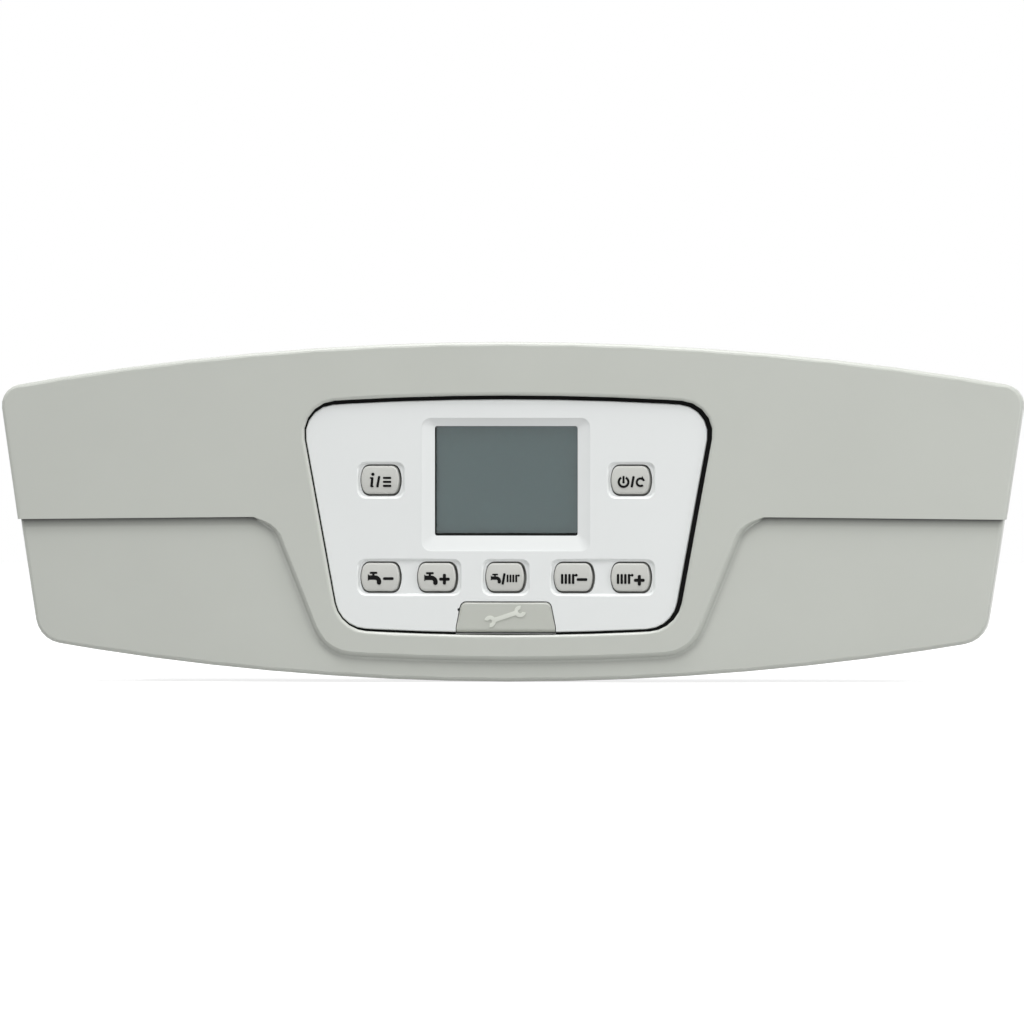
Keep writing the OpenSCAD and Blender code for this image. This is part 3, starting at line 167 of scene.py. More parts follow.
class PanelMarkSettings(PropertyGroup):
    """Printed pictograms on the keys and the raised tool mark on the flap"""

    ink_height: FloatProperty(
        name="Ink height", description="How far the printed marks stand out of a key",
        default=0.05 * MM, min=0.02 * MM, max=0.2 * MM, unit="LENGTH", precision=5)
    tool_length: FloatProperty(
        name="Tool mark length", description="Length of the raised spanner on the service flap",
        default=18.6 * MM, min=12 * MM, max=22 * MM, unit="LENGTH", precision=5)
    tool_height: FloatProperty(
        name="Tool mark height", description="How far the spanner stands out of the flap",
        default=0.3 * MM, min=0.2 * MM, max=0.8 * MM, unit="LENGTH", precision=5)
    tool_turn: FloatProperty(
        name="Tool mark tilt", description="Tilt of the spanner",
        default=math.radians(18.4), min=0.0, max=1.2, subtype="ANGLE")


class PanelColourSettings(PropertyGroup):
    """Colours of the visible finishes, as linear values"""

    fascia: FloatVectorProperty(
        name="Fascia", description="Colour of the grey fascia", subtype="COLOR", size=3,
        default=(0.507, 0.524, 0.484), min=0.0, max=1.0)
    insert: FloatVectorProperty(
        name="Insert", description="Colour of the white insert", subtype="COLOR", size=3,
        default=(0.762, 0.782, 0.777), min=0.0, max=1.0)
    keys: FloatVectorProperty(
        name="Keys", description="Colour of the grey keys", subtype="COLOR", size=3,
        default=(0.560, 0.565, 0.535), min=0.0, max=1.0)
    flap: FloatVectorProperty(
        name="Flap", description="Colour of the service flap", subtype="COLOR", size=3,
        default=(0.487, 0.502, 0.458), min=0.0, max=1.0)
    glass: FloatVectorProperty(
        name="Display", description="Colour of the unlit display", subtype="COLOR", size=3,
        default=(0.083, 0.128, 0.130), min=0.0, max=1.0)
    housing: FloatVectorProperty(
        name="Housing", description="Colour of the housing behind the fascia", subtype="COLOR", size=3,
        default=(0.030, 0.031, 0.033), min=0.0, max=1.0)


class PanelStageSettings(PropertyGroup):
    """Camera and light"""

    azimuth: FloatProperty(
        name="Azimuth", description="Angle of the camera to the panel's right",
        default=math.radians(4.6), min=-1.5, max=1.5, subtype="ANGLE")
    elevation: FloatProperty(
        name="Elevation", description="Angle of the camera above the panel's middle",
        default=math.radians(0.5), min=-0.5, max=1.5, subtype="ANGLE")
    distance: FloatProperty(
        name="Distance", description="Distance from the camera to the panel",
        default=6.0, min=0.5, max=10.0, unit="LENGTH")
    lens: FloatProperty(
        name="Lens", description="Focal length of the camera, in millimetres",
        default=492.8, min=20.0, max=900.0)
    aim: FloatVectorProperty(
        name="Aim", description="Point that the camera looks at", subtype="TRANSLATION", size=3,
        default=(0.0014, -0.070, -0.0548))
    sky: FloatProperty(
        name="Sky", description="Strength of the even light from all round",
        default=0.36, min=0.0, max=3.0)
    lamp: FloatProperty(
        name="Lamps", description="Power that each of the three lamps takes its share of",
        default=33.0, min=0.0, max=500.0, unit="POWER")


GROUPS = (
    ("panel_shells", PanelShellSettings),
    ("panel_marks", PanelMarkSettings),
    ("panel_colours", PanelColourSettings),
    ("panel_stage", PanelStageSettings),
)


# Modelling

def only(*objects):
    """Leaves just these objects selected, the first one active"""
    bpy.ops.object.select_all(action="DESELECT")
    for o in objects:
        o.select_set(True)
    bpy.context.view_layer.objects.active = objects[0]


def settle(piece):
    """Puts the piece's place, turn and size into its mesh"""
    only(piece)
    bpy.ops.object.transform_apply(location=True, rotation=True, scale=True)
    return piece


def modify(piece, kind, **settings):
    """Adds a modifier with these settings and applies it"""
    only(piece)
    m = piece.modifiers.new(kind.title(), kind)
    for key, value in settings.items():
        setattr(m, key, value)
    bpy.ops.object.modifier_apply(modifier=m.name)
    return piece


def smooth(piece, degrees):
    """Smooth shading with a crease wherever two faces turn more than this"""
    only(piece)
    bpy.ops.object.shade_smooth_by_angle(angle=math.radians(degrees))
    return piece


def finished(piece, name, body, material):
    """Names the piece, gives it its finish and lets it ride on its body"""
    piece.name = name
    piece.data.name = name
    piece.data.materials.clear()
    piece.data.materials.append(material)
    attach(piece, body)
    return piece


def fused(pieces):
    """One closed solid of several that overlap"""
    first = pieces[0]
    for other in pieces[1:]:
        modify(first, "BOOLEAN", operation="UNION", solver="EXACT", object=other)
        bpy.data.objects.remove(other)
    return first


def moulded_copy(node, edge, sharp):
    """Copy of a solid with its doubles merged, its flats made whole and its sharp edges rounded"""
    piece = merged_copy(node)
    modify(piece, "BEVEL", width=edge, segments=2, limit_method="ANGLE",
           angle_limit=math.radians(sharp), use_clamp_overlap=True, miter_outer="MITER_ARC")
    return calm_shading(piece, LARGE_FACE)


def merged_copy(node, whole_flats=True):
    """Copy of a solid with its doubles merged, and where wanted its flats made whole"""
    mesh = frame["nodes"][node].data.copy()
    piece = bpy.data.objects.new(node, mesh)
    bpy.context.scene.collection.objects.link(piece)
    only(piece)
    bpy.ops.object.mode_set(mode="EDIT")
    bpy.ops.mesh.select_all(action="SELECT")
    bpy.ops.mesh.remove_doubles(threshold=0.002 * MM)
    if whole_flats:
        bpy.ops.mesh.dissolve_limited(angle_limit=math.radians(0.15))
    bpy.ops.object.mode_set(mode="OBJECT")
    return piece


def calm_shading(piece, large):
    """Smooth shading that leaves the large faces flat, with a crease where two of them meet"""
    smooth(piece, ROUND_ANGLE)
    mesh = piece.data
    least = large * MM * MM
    wide = {p.index for p in mesh.polygons if p.area > least or along_bow(p)}
    pick_mode(piece, "FACE")
    for p in mesh.polygons:
        p.select = p.index in wide
    bpy.ops.object.mode_set(mode="EDIT")
    bpy.ops.mesh.mod_weighted_strength(set=True, face_strength="STRONG")
    bpy.ops.mesh.select_all(action="INVERT")
    bpy.ops.mesh.mod_weighted_strength(set=True, face_strength="WEAK")
    bpy.ops.object.mode_set(mode="OBJECT")
    sides = {}
    for p in mesh.polygons:
        for key in p.edge_keys:
            sides.setdefault(key, []).append((p.index in wide, p.normal.copy()))
    creases = set()
    for e in mesh.edges:
        pair = sides.get(tuple(sorted(e.vertices)), [])
        if len(pair) != 2:
            creases.add(e.index)
            continue
        turn = math.degrees(pair[0][1].angle(pair[1][1], 0.0))
        both = pair[0][0] and pair[1][0]
        either_one = pair[0][0] or pair[1][0]
        if (both and turn > FLAT_CREASE) or (either_one and turn > EDGE_CREASE):
            creases.add(e.index)
    pick_mode(piece, "EDGE")
    for e in mesh.edges:
        e.select = e.index in creases
    bpy.ops.object.mode_set(mode="EDIT")
    bpy.ops.mesh.mark_sharp()
    bpy.ops.object.mode_set(mode="OBJECT")
    modify(piece, "WEIGHTED_NORMAL", keep_sharp=True, weight=50, use_face_influence=True)
    return piece


def pick_mode(piece, kind):
    """Leaves nothing selected in this piece's mesh, ready to pick its points, edges or faces"""
    only(piece)
    bpy.ops.object.mode_set(mode="EDIT")
    bpy.ops.mesh.select_mode(type=kind)
    bpy.ops.mesh.select_all(action="DESELECT")
    bpy.ops.object.mode_set(mode="OBJECT")


def pick(piece, wanted):
    """Enters edit mode with just the vertices that pass this test selected"""
    pick_mode(piece, "VERT")
    for v in piece.data.vertices:
        v.select = wanted(v.co)
    bpy.ops.object.mode_set(mode="EDIT")


def move_points(piece, chosen, shift):
    """Moves the vertices with these numbers"""
    pick_mode(piece, "VERT")
    for i in chosen:
        piece.data.vertices[i].select = True
    bpy.ops.object.mode_set(mode="EDIT")
    bpy.ops.transform.translate(value=shift)
    bpy.ops.object.mode_set(mode="OBJECT")


def move_where(piece, wanted, shift):
    """Moves the vertices that pass this test"""
    pick(piece, wanted)
    bpy.ops.transform.translate(value=shift)
    bpy.ops.object.mode_set(mode="OBJECT")


def bow_y(x):
    """Depth of the fascia's bowed front at this place across the panel"""
    return FRONT_Y + BOW_RADIUS - math.sqrt(BOW_RADIUS ** 2 - x * x)


def along_bow(face):
    """Whether a face looks the way the bowed front does at its place"""
    slope = face.center.x / BOW_RADIUS
    return face.normal.dot(Vector((slope, -math.sqrt(1 - slope * slope), 0))) > 0.9997


def slide(piece, shift):
    """Slides points along the bowed front. The shift is given in millimetres, outwards and up."""
    groups = {}
    for v in piece.data.vertices:
        step = shift(abs(v.co.x) / MM, v.co.z / MM, (v.co.y - bow_y(v.co.x)) / MM)
        if step:
            out = math.copysign(round(step[0], 1), v.co.x)
            groups.setdefault((out, round(step[1], 2)), []).append(v.index)
    for (out, up), chosen in groups.items():
        centre = 0.0
        for i in chosen:
            centre += piece.data.vertices[i].co.x / len(chosen)
        move_points(piece, chosen, (out * MM, centre * out * MM / BOW_RADIUS, up * MM))


def step_shift(x, z, depth):
    """How far a point of the raised zone's edge goes: a crisp lip on the wings, a slope on the funnel"""
    above_front, below_slope = -0.03, 2.98
    if depth < above_front or depth > below_slope:
        return None
    on_lip = LIP_LOW < z < LIP_HIGH
    lip = STEP_LIP - LIP_FALL * max(0.0, x - LIP_START)
    if x > WING_START and on_lip and depth < LIP_DEPTH and z > LIP_MIDDLE:
        return 0.0, lip - z
    if WING_START < x < LIP_END and on_lip and depth > LIP_DEPTH:
        near = max(0.0, min(1.0, (DIP_END - x) / (DIP_END - WING_START)))
        return 0.0, lip + 0.3 - 0.9 * near ** 2 - z
    if depth > SLOPE_DEPTH + 0.05:
        return None
    if inside(x, z, SHOULDER_AREA):
        turn = math.asin(min(FUNNEL_SINE, (SHOULDER_X - x) / (SHOULDER_RADIUS - STEP_LEAN * depth)))
        t = turn / FUNNEL_TURN
        swell = math.sin(math.pi * min(1.0, t))
        # How far the slope's upper and lower edges go
        upper = 2.35 - 0.7 * t + 0.8 * swell
        lower = -0.05 + 1.7 * t + 0.95 * swell
        go = upper + (lower - upper) * (depth / SLOPE_DEPTH)
    elif inside(x, z, SIDE_AREA):
        turn = FUNNEL_TURN
        go = 1.65
    elif inside(x, z, FOOT_AREA) and (x > FOOT_X or z < -112) and clear_of_rim(x, z):
        sine = (x - FOOT_X) / (FOOT_RADIUS + STEP_LEAN * depth)
        turn = math.asin(max(0.0, min(FUNNEL_SINE, sine)))
        go = 2.25 - 0.5 * turn
    else:
        return None
    return go * math.sin(turn), -go * math.cos(turn)


def inside(x, z, area):
    """Whether a place is in this area"""
    left, right, low, high = area
    return left < x <= right and low < z < high


def opening_side(z):
    """How far out the opening's side is at this height, in millimetres"""
    return OPENING_X + (z - OPENING_Z) * OPENING_LEAN


def clear_of_rim(x, z):
    """Whether a point near the funnel's foot is below or outside the opening's rim"""
    return z < -110 or x > opening_side(z) + 3


# Finishes

def blank(name):
    """New material, its node tree and its shader"""
    m = bpy.data.materials.new(name)
    m.use_nodes = True
    tree = m.node_tree
    return m, tree, tree.nodes["Principled BSDF"]


def add(tree, kind, **settings):
    """New node with these settings"""
    n = tree.nodes.new(kind)
    for key, value in settings.items():
        setattr(n, key, value)
    return n


def noise(tree, scale, detail, stretch=(1, 1, 1)):
    """Noise on the piece's own coordinates, in metres"""
    spot = add(tree, "ShaderNodeTexCoord")
    turn = add(tree, "ShaderNodeMapping")
    turn.inputs["Scale"].default_value = stretch
    n = add(tree, "ShaderNodeTexNoise")
    n.inputs["Scale"].default_value = scale
    n.inputs["Detail"].default_value = detail
    tree.links.new(spot.outputs["Object"], turn.inputs["Vector"])
    tree.links.new(turn.outputs["Vector"], n.inputs["Vector"])
    return n


def ramp(tree, source, low, high, start=0.35, end=0.65):
    """Colour that runs from low to high as the source goes from start to end"""
    r = add(tree, "ShaderNodeValToRGB")
    r.color_ramp.elements[0].position = start
    r.color_ramp.elements[1].position = end
    r.color_ramp.elements[0].color = (*low, 1)
    r.color_ramp.elements[1].color = (*high, 1)
    tree.links.new(source, r.inputs["Fac"])
    return r


def spread(tree, source, low, high):
    """Number that runs from low to high over a noise's usual reach"""
    s = add(tree, "ShaderNodeMapRange")
    s.inputs["From Min"].default_value = 0.3
    s.inputs["From Max"].default_value = 0.7
    s.inputs["To Min"].default_value = low
    s.inputs["To Max"].default_value = high
    tree.links.new(source, s.inputs["Value"])
    return s


def bump(tree, shader, source, depth):
    """Relief of this depth where the source is high"""
    b = add(tree, "ShaderNodeBump")
    b.inputs["Distance"].default_value = depth
    b.inputs["Strength"].default_value = 1.0
    tree.links.new(source, b.inputs["Height"])
    tree.links.new(b.outputs["Normal"], shader.inputs["Normal"])


def multiplied(tree, first, second, shader):
    """Gives the shader's colour the product of two colours"""
    mix = add(tree, "ShaderNodeMix", data_type="RGBA", blend_type="MULTIPLY")
    mix.inputs["Factor"].default_value = 1
    tree.links.new(first, mix.inputs["A"])
    tree.links.new(second, mix.inputs["B"])
    tree.links.new(mix.outputs["Result"], shader.inputs["Base Color"])


def tinted(colour, factor):
    """The same colour, lighter or darker"""
    return tuple(min(1.0, c * factor) for c in colour)


def paint_corner_shade(tree, shader, reach, dark):
    """Paints shade into the colour: an ambient occlusion node darkens it where the surface lies close in a
    corner
    """
    near = add(tree, "ShaderNodeAmbientOcclusion", samples=8, only_local=True)
    near.inputs["Distance"].default_value = reach * MM
    shade = ramp(tree, near.outputs["AO"], (dark, dark, dark), (1, 1, 1), 0.62, 0.98)
    plain = shader.inputs["Base Color"].links[0].from_socket
    multiplied(tree, plain, shade.outputs["Color"], shader)


def moulded_plastic(name, colour, rough, grain=0.35, depth=0.01, cloud=0.012,
                    speck=0.0, gloss=0.5, crease=0.0):
    """Injection-moulded plastic: faint clouds, an eroded grain and a slightly uneven gloss"""
    m, tree, shader = blank(name)
    clouds = noise(tree, 22, 4)
    colours = ramp(tree, clouds.outputs["Fac"], tinted(colour, 1 - cloud), tinted(colour, 1 + cloud))
    fine = noise(tree, 1000 / grain, 2.5)
    if speck:
        dots = ramp(tree, fine.outputs["Fac"], (1 - speck,) * 3, (1, 1, 1), 0.36, 0.56)
        multiplied(tree, colours.outputs["Color"], dots.outputs["Color"], shader)
    else:
        tree.links.new(colours.outputs["Color"], shader.inputs["Base Color"])
    tree.links.new(spread(tree, clouds.outputs["Fac"], rough - 0.03, rough + 0.03).outputs["Result"],
                   shader.inputs["Roughness"])
    shader.inputs["Specular IOR Level"].default_value = gloss
    # Painted shade: the colour darkens in corners and creases within this reach, in millimetres
    if crease:
        paint_corner_shade(tree, shader, crease, PAINTED_CORNER_SHADE)
    bump(tree, shader, fine.outputs["Fac"], depth * MM)
    return m


def rubber(name, colour, gloss=0.35):
    """Matt rubber with bloom and fine pores"""
    m, tree, shader = blank(name)
    clouds = noise(tree, 60, 5)
    colours = ramp(tree, clouds.outputs["Fac"], colour, tinted(colour, 1.6), 0.4, 0.75)
    tree.links.new(colours.outputs["Color"], shader.inputs["Base Color"])
    shader.inputs["Roughness"].default_value = 0.78
    shader.inputs["Specular IOR Level"].default_value = gloss
    bump(tree, shader, noise(tree, 5200, 2).outputs["Fac"], 0.02 * MM)
    return m


def metal(name, colour, rough, stretch, scale):
    """Plated or turned metal with fine tool lines and uneven gloss"""
    m, tree, shader = blank(name)
    lines = noise(tree, scale, 4, stretch)
    colours = ramp(tree, lines.outputs["Fac"], tinted(colour, 0.86), tinted(colour, 1.06))
    tree.links.new(colours.outputs["Color"], shader.inputs["Base Color"])
    tree.links.new(spread(tree, lines.outputs["Fac"], rough - 0.07, rough + 0.09).outputs["Result"],
                   shader.inputs["Roughness"])
    shader.inputs["Metallic"].default_value = 1.0
    bump(tree, shader, lines.outputs["Fac"], 0.004 * MM)
    return m


def circuit_board(name, colour):
    """Solder mask over copper: lighter tracks round uneven fields, and a fine sheen"""
    m, tree, shader = blank(name)
    spot = add(tree, "ShaderNodeTexCoord")
    cells = add(tree, "ShaderNodeTexVoronoi", feature="DISTANCE_TO_EDGE")
    cells.inputs["Scale"].default_value = 150
    cells.inputs["Randomness"].default_value = 0.75
    tree.links.new(spot.outputs["Object"], cells.inputs["Vector"])
    tracks = ramp(tree, cells.outputs["Distance"], tinted(colour, 1.9), colour, 0.05, 0.09)
    tree.links.new(tracks.outputs["Color"], shader.inputs["Base Color"])
    shader.inputs["Roughness"].default_value = 0.28
    shader.inputs["Coat Weight"].default_value = 0.4
    shader.inputs["Coat Roughness"].default_value = 0.15
    bump(tree, shader, tracks.outputs["Color"], 0.03 * MM)
    return m


def clear_plastic(name, colour, rough):
    """Clear plastic or glass: fully see-through, with a faintly uneven gloss"""
    m, tree, shader = blank(name)
    shader.inputs["Base Color"].default_value = (*colour, 1)
    shader.inputs["Transmission Weight"].default_value = 1.0
    shader.inputs["IOR"].default_value = 1.49
    tree.links.new(spread(tree, noise(tree, 80, 3).outputs["Fac"], rough, rough + 0.01).outputs["Result"],
                   shader.inputs["Roughness"])
    return m


def display_film(name, colour):
    """Unlit liquid-crystal cell: grey-green polariser with a faint up-and-down streak"""
    m, tree, shader = blank(name)
    streak = noise(tree, 40, 2, (3.0, 1, 0.15))
    colours = ramp(tree, streak.outputs["Fac"], tinted(colour, 0.985), tinted(colour, 1.015))
    tree.links.new(colours.outputs["Color"], shader.inputs["Base Color"])
    tree.links.new(spread(tree, streak.outputs["Fac"], 0.38, 0.44).outputs["Result"],
                   shader.inputs["Roughness"])
    shader.inputs["Specular IOR Level"].default_value = 0.02
    return m


def striped(name, light, dark, pitch, axis, rough, metallic=0.0):
    """Even stripes along one axis, such as the cores of a flat cable or the sheets of a core"""
    m, tree, shader = blank(name)
    spot = add(tree, "ShaderNodeTexCoord")
    wave = add(tree, "ShaderNodeTexWave", wave_type="BANDS", bands_direction=axis)
    wave.inputs["Scale"].default_value = 1 / (pitch * MM) / WAVE_RATE
    wave.inputs["Distortion"].default_value = 0.0
    tree.links.new(spot.outputs["Object"], wave.inputs["Vector"])
    colours = ramp(tree, wave.outputs["Fac"], dark, light, 0.1, 0.5)
    tree.links.new(colours.outputs["Color"], shader.inputs["Base Color"])
    shader.inputs["Roughness"].default_value = rough
    shader.inputs["Metallic"].default_value = metallic
    bump(tree, shader, wave.outputs["Fac"], 0.05 * MM)
    return m


def finishes():
    """All finishes of the panel, made once"""
    c = bpy.context.scene.panel_colours
    return {
        # crease gives the reach in millimetres of the shade painted into corners and creases
        "fascia": moulded_plastic("fascia_satin_grey", c.fascia, 0.36, 0.4, 0.006, 0.010, crease=4.0),
        "insert": moulded_plastic("insert_satin_white", c.insert, 0.36, 0.5, 0.004, 0.006),
        "keys": moulded_plastic("key_fine_grain", c.keys, 0.48, 0.22, 0.012, 0.02, 0.05, crease=2.0),
        "service_flap": moulded_plastic("flap_satin_grey", c.flap, 0.45, 0.35, 0.008, 0.012, crease=2.0),
        "housing": moulded_plastic("housing_sparked_black", c.housing, 0.55, 0.7, 0.05, 0.12),
        "wiring_cover": moulded_plastic("cover_sparked_black", tinted(c.housing, 1.35), 0.52, 0.7, 0.05,
                                        0.12),
        "ink": moulded_plastic("key_ink_black", (0.004, 0.004, 0.004), 0.7, 0.3, 0.004, 0.1, gloss=0.1),
        # Painted shade: black for the frame that stands in for the shade round the display's window
        "window_painted_shade": moulded_plastic("window_painted_shade_black", (0.006, 0.007, 0.006), 0.6, 0.4, 0.003, 0.1,
                                         gloss=0.1),
        "insert_seal": rubber("seal_black_foam", (0.004, 0.004, 0.004), 0.1),
        "display_window": clear_plastic("window_clear", (0.97, 0.98, 0.98), 0.0),
        "display_cell": display_film("display_grey_green", c.glass),
        "display_carrier": moulded_plastic("carrier_white", (0.62, 0.62, 0.60), 0.5),
        "backlight": moulded_plastic("light_guide", (0.78, 0.83, 0.74), 0.2, 0.8, 0.01, 0.02),
        "keypad_mat": rubber("keypad_grey_silicone", (0.22, 0.23, 0.25)),
        "boards": circuit_board("board_solder_mask", (0.012, 0.085, 0.030)),
        "components": moulded_plastic("component_epoxy", (0.014, 0.014, 0.016), 0.5, 0.5, 0.02, 0.15),
        "screws": metal("screw_zinc", (0.62, 0.63, 0.65), 0.30, (1, 1, 1), 1400),
        "connectors": moulded_plastic("connector_ivory", (0.68, 0.66, 0.58), 0.42, 0.5, 0.01, 0.03),
        "contacts": metal("contact_gold", (0.83, 0.62, 0.26), 0.22, (1, 8, 1), 900),
        "ribbon": striped("ribbon_grey_cores", (0.34, 0.35, 0.38), (0.12, 0.12, 0.14), 1.27, "X", 0.45),
        "pins": metal("pin_turned_steel", (0.58, 0.59, 0.61), 0.26, (12, 1, 1), 700),
        "transformer": striped("transformer_sheets", (0.20, 0.18, 0.15), (0.04, 0.035, 0.03), 0.9, "Y", 0.4,
                               0.5),
        "relays": moulded_plastic("relay_blue", (0.018, 0.040, 0.130), 0.25, 0.6, 0.006, 0.05),
        "capacitors": moulded_plastic("capacitor_sleeve", (0.014, 0.020, 0.036), 0.22, 0.8, 0.006, 0.1),
        "fuse": clear_plastic("fuse_glass", (0.93, 0.96, 0.95), 0.02),
        "heatsink": metal("heatsink_aluminium", (0.60, 0.61, 0.62), 0.34, (1, 1, 14), 500),
        "terminals": moulded_plastic("terminal_green", (0.030, 0.165, 0.062), 0.42, 0.5, 0.01, 0.05),
        "grommets": rubber("grommet_black", (0.012, 0.012, 0.012)),
        # Painted highlight: the spanner is the flap's own plastic, made lighter to stand in for the light
        # on its raised face
        "tool_mark": moulded_plastic("tool_mark_grey_painted_highlight", tinted(c.flap, 1.36), 0.42, 0.35, 0.006, 0.012),
    }


FINISH = {}


def finish(name):
    """The finish with this name, made when the first one is asked for"""
    if not FINISH:
        FINISH.update(finishes())
    return FINISH[name]


# Operators, one for each piece or group of like pieces

class OBJECT_OT_panel_fascia(Operator):
    """Makes the bowed grey fascia with its crisp step line and the opening's soft rim"""

    bl_idname = "object.panel_fascia"
    bl_label = "Fascia"

    def execute(self, context):
        piece = merged_copy("fascia")
        slide(piece, step_shift)
        self.widen_rim(piece)
        calm_shading(piece, large=5.0)
        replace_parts(finished(piece, "fascia_shell", "panel", finish("fascia")), "fascia")
        return {"FINISHED"}

    def widen_rim(self, piece):
        """Gives the opening's rim a softer roll: each of its rings goes out and back by its own share"""
        half_width, half_height, middle_z = 80, 51.5, -0.0563
        rings = (
            (-0.03, 0.04, 0.70, 0.0),
            (0.05, 0.15, 0.34, 0.05),
            (0.28, 0.42, 0.12, 0.15),
            (0.7, 0.9, 0.0, 0.4),
        )
        for near, far, out, back in rings:
            def on_rim(co):
                x, z, depth = abs(co.x) / MM, co.z / MM, (co.y - bow_y(co.x)) / MM
                return near < depth < far and -109 < z < 0 and x < opening_side(max(z, -96)) + 1.2
            pick(piece, on_rim)
            bpy.ops.transform.resize(value=(1 + out / half_width, 1, 1 + out / half_height),
                                     center_override=(0, 0, middle_z))
            bpy.ops.transform.translate(value=(0, back * MM, 0))
            bpy.ops.object.mode_set(mode="OBJECT")


class OBJECT_OT_panel_insert(Operator):
    """Makes the white insert with its pockets, display bevel and flap well"""

    bl_idname = "object.panel_insert"
    bl_label = "Insert"

    def execute(self, context):
        piece = moulded_copy("insert", context.scene.panel_shells.insert_edge, 60)
        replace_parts(finished(piece, "insert_plate", "panel", finish("insert")), "insert")
        return {"FINISHED"}


class OBJECT_OT_panel_keys(Operator):
    """Makes the seven keys, each with its own mesh"""

    bl_idname = "object.panel_keys"
    bl_label = "Keys"

    def execute(self, context):
        for node in KEYS:
            piece = merged_copy(node)
            x, z = middle(node)
            self.trim(piece, x, z)
            modify(piece, "BEVEL", width=context.scene.panel_shells.key_edge, segments=2,
                   limit_method="ANGLE", angle_limit=math.radians(38), use_clamp_overlap=True)
            self.pillow(piece, z)
            smooth(piece, ROUND_ANGLE)
            modify(piece, "WEIGHTED_NORMAL", keep_sharp=True, weight=50)
            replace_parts(finished(piece, node + "_cap", node, finish("keys")), node)
        return {"FINISHED"}

    def trim(self, piece, x, z):
        """Leaves a wider gap right, above and below the cap, and sets its face lower in the pocket"""
        width, height, lower = 0.965, 0.955, 0.6 * MM
        still = (x - 12 * MM, 0, z + 2.2 * MM)
        pick(piece, lambda co: co.y < CAP_BACK)
        bpy.ops.transform.resize(value=(width, 1, height), center_override=still)
        bpy.ops.object.mode_set(mode="OBJECT")
        move_where(piece, lambda co: co.y < CAP_FACE, (0, lower, 0))

    def pillow(self, piece, z):
        """Bows the cap's face from its top to its bottom"""
        half_height, fall = 5.8, 0.45 * MM
        for up in (-4.6, -3.6, -2.5, -1.3, 0.0, 1.3, 2.5, 3.6, 4.6):
            pick(piece, lambda co: co.y < CAP_FACE)
            bpy.ops.mesh.bisect(plane_co=(0, 0, z + up * MM), plane_no=(0, 0, 1))
            bpy.ops.object.mode_set(mode="OBJECT")
        rows = {}
        for v in piece.data.vertices:
            if v.co.y < CAP_FACE:
                rows.setdefault(round(abs(v.co.z - z) / MM, 1), []).append(v.index)
        for away, row in rows.items():
            move_points(piece, row, (0, fall * (away / half_height) ** 2, 0))


def middle(node):
    """Middle of a solid, across and up"""
    low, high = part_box(node)
    return (low.x + high.x) / 2, (low.z + high.z) / 2


def stand(piece, x, z, turn=0.0):
    """Stands a flat outline up to face the front, turned by this angle, and gives it its depth"""
    piece.rotation_euler = (math.pi / 2, -turn, 0)
    piece.location = (x, 0, z)
    return modify(settle(piece), "SOLIDIFY", thickness=SIGN_DEPTH, offset=-1)


def bar(x, z, width, height, turn=0.0, roundness=0.8):
    """Bar about a point, with rounded corners"""
    bpy.ops.mesh.primitive_plane_add(size=1)
    piece = bpy.context.active_object
    piece.scale = (width, height, 1)
    settle(piece)
    if roundness:
        bpy.ops.object.mode_set(mode="EDIT")
        bpy.ops.mesh.select_all(action="SELECT")
        bpy.ops.mesh.bevel(offset=roundness * min(width, height) / 2, segments=3, affect="VERTICES")
        bpy.ops.object.mode_set(mode="OBJECT")
    return stand(piece, x, z, turn)


def stroke(x0, z0, x1, z1, line):
    """Straight line with round ends from one point to another"""
    length = math.hypot(x1 - x0, z1 - z0)
    return bar((x0 + x1) / 2, (z0 + z1) / 2, length, line, math.atan2(z1 - z0, x1 - x0))


def disc(x, z, radius, corners=24):
    """Round dot, or a triangle with three corners"""
    bpy.ops.mesh.primitive_circle_add(vertices=corners, radius=radius, fill_type="NGON")
    return stand(bpy.context.active_object, x, z)


def flare(x, z, width, left, right):
    """Plate whose height changes from its left end to its right end"""
    bpy.ops.mesh.primitive_plane_add(size=1)
    piece = bpy.context.active_object
    piece.scale = (width, left, 1)
    settle(piece)
    pick(piece, lambda co: co.x > 0)
    bpy.ops.transform.resize(value=(1, right / left, 1))
    bpy.ops.object.mode_set(mode="OBJECT")
    return stand(piece, x, z)


def arc(x, z, radius, line, start, sweep, steps):
    """Part of a ring spun from a short edge. Angles run anticlockwise from the right, in degrees."""
    bpy.ops.mesh.primitive_plane_add(size=line, location=(radius, -line / 2, 0))
    piece = settle(bpy.context.active_object)
    pick(piece, lambda co: co.y < -line / 2)
    bpy.ops.mesh.delete(type="VERT")
    bpy.ops.mesh.select_all(action="SELECT")
    bpy.ops.transform.rotate(value=-math.radians(start), orient_axis="Z", center_override=(0, 0, 0))
    bpy.ops.mesh.spin(steps=steps, angle=-math.radians(sweep), center=(0, 0, 0), axis=(0, 0, 1))
    bpy.ops.mesh.select_all(action="SELECT")
    bpy.ops.mesh.normals_make_consistent(inside=False)
    bpy.ops.object.mode_set(mode="OBJECT")
    if piece.data.polygons[0].normal.z < 0:
        bpy.ops.object.mode_set(mode="EDIT")
        bpy.ops.mesh.flip_normals()
        bpy.ops.object.mode_set(mode="OBJECT")
    return stand(piece, x, z)


def minus_sign(x, z):
    """Minus about a point"""
    return [bar(x, z, 4.6, 1.2)]


def plus_sign(x, z):
    """Plus about a point"""
    return [bar(x, z, 4.6, 1.35), bar(x, z, 1.35, 4.6)]


def slash(x):
    """Slanted stroke between two signs"""
    return [stroke(x - 0.45, -3.1, x + 0.45, 1.8, 1.05)]


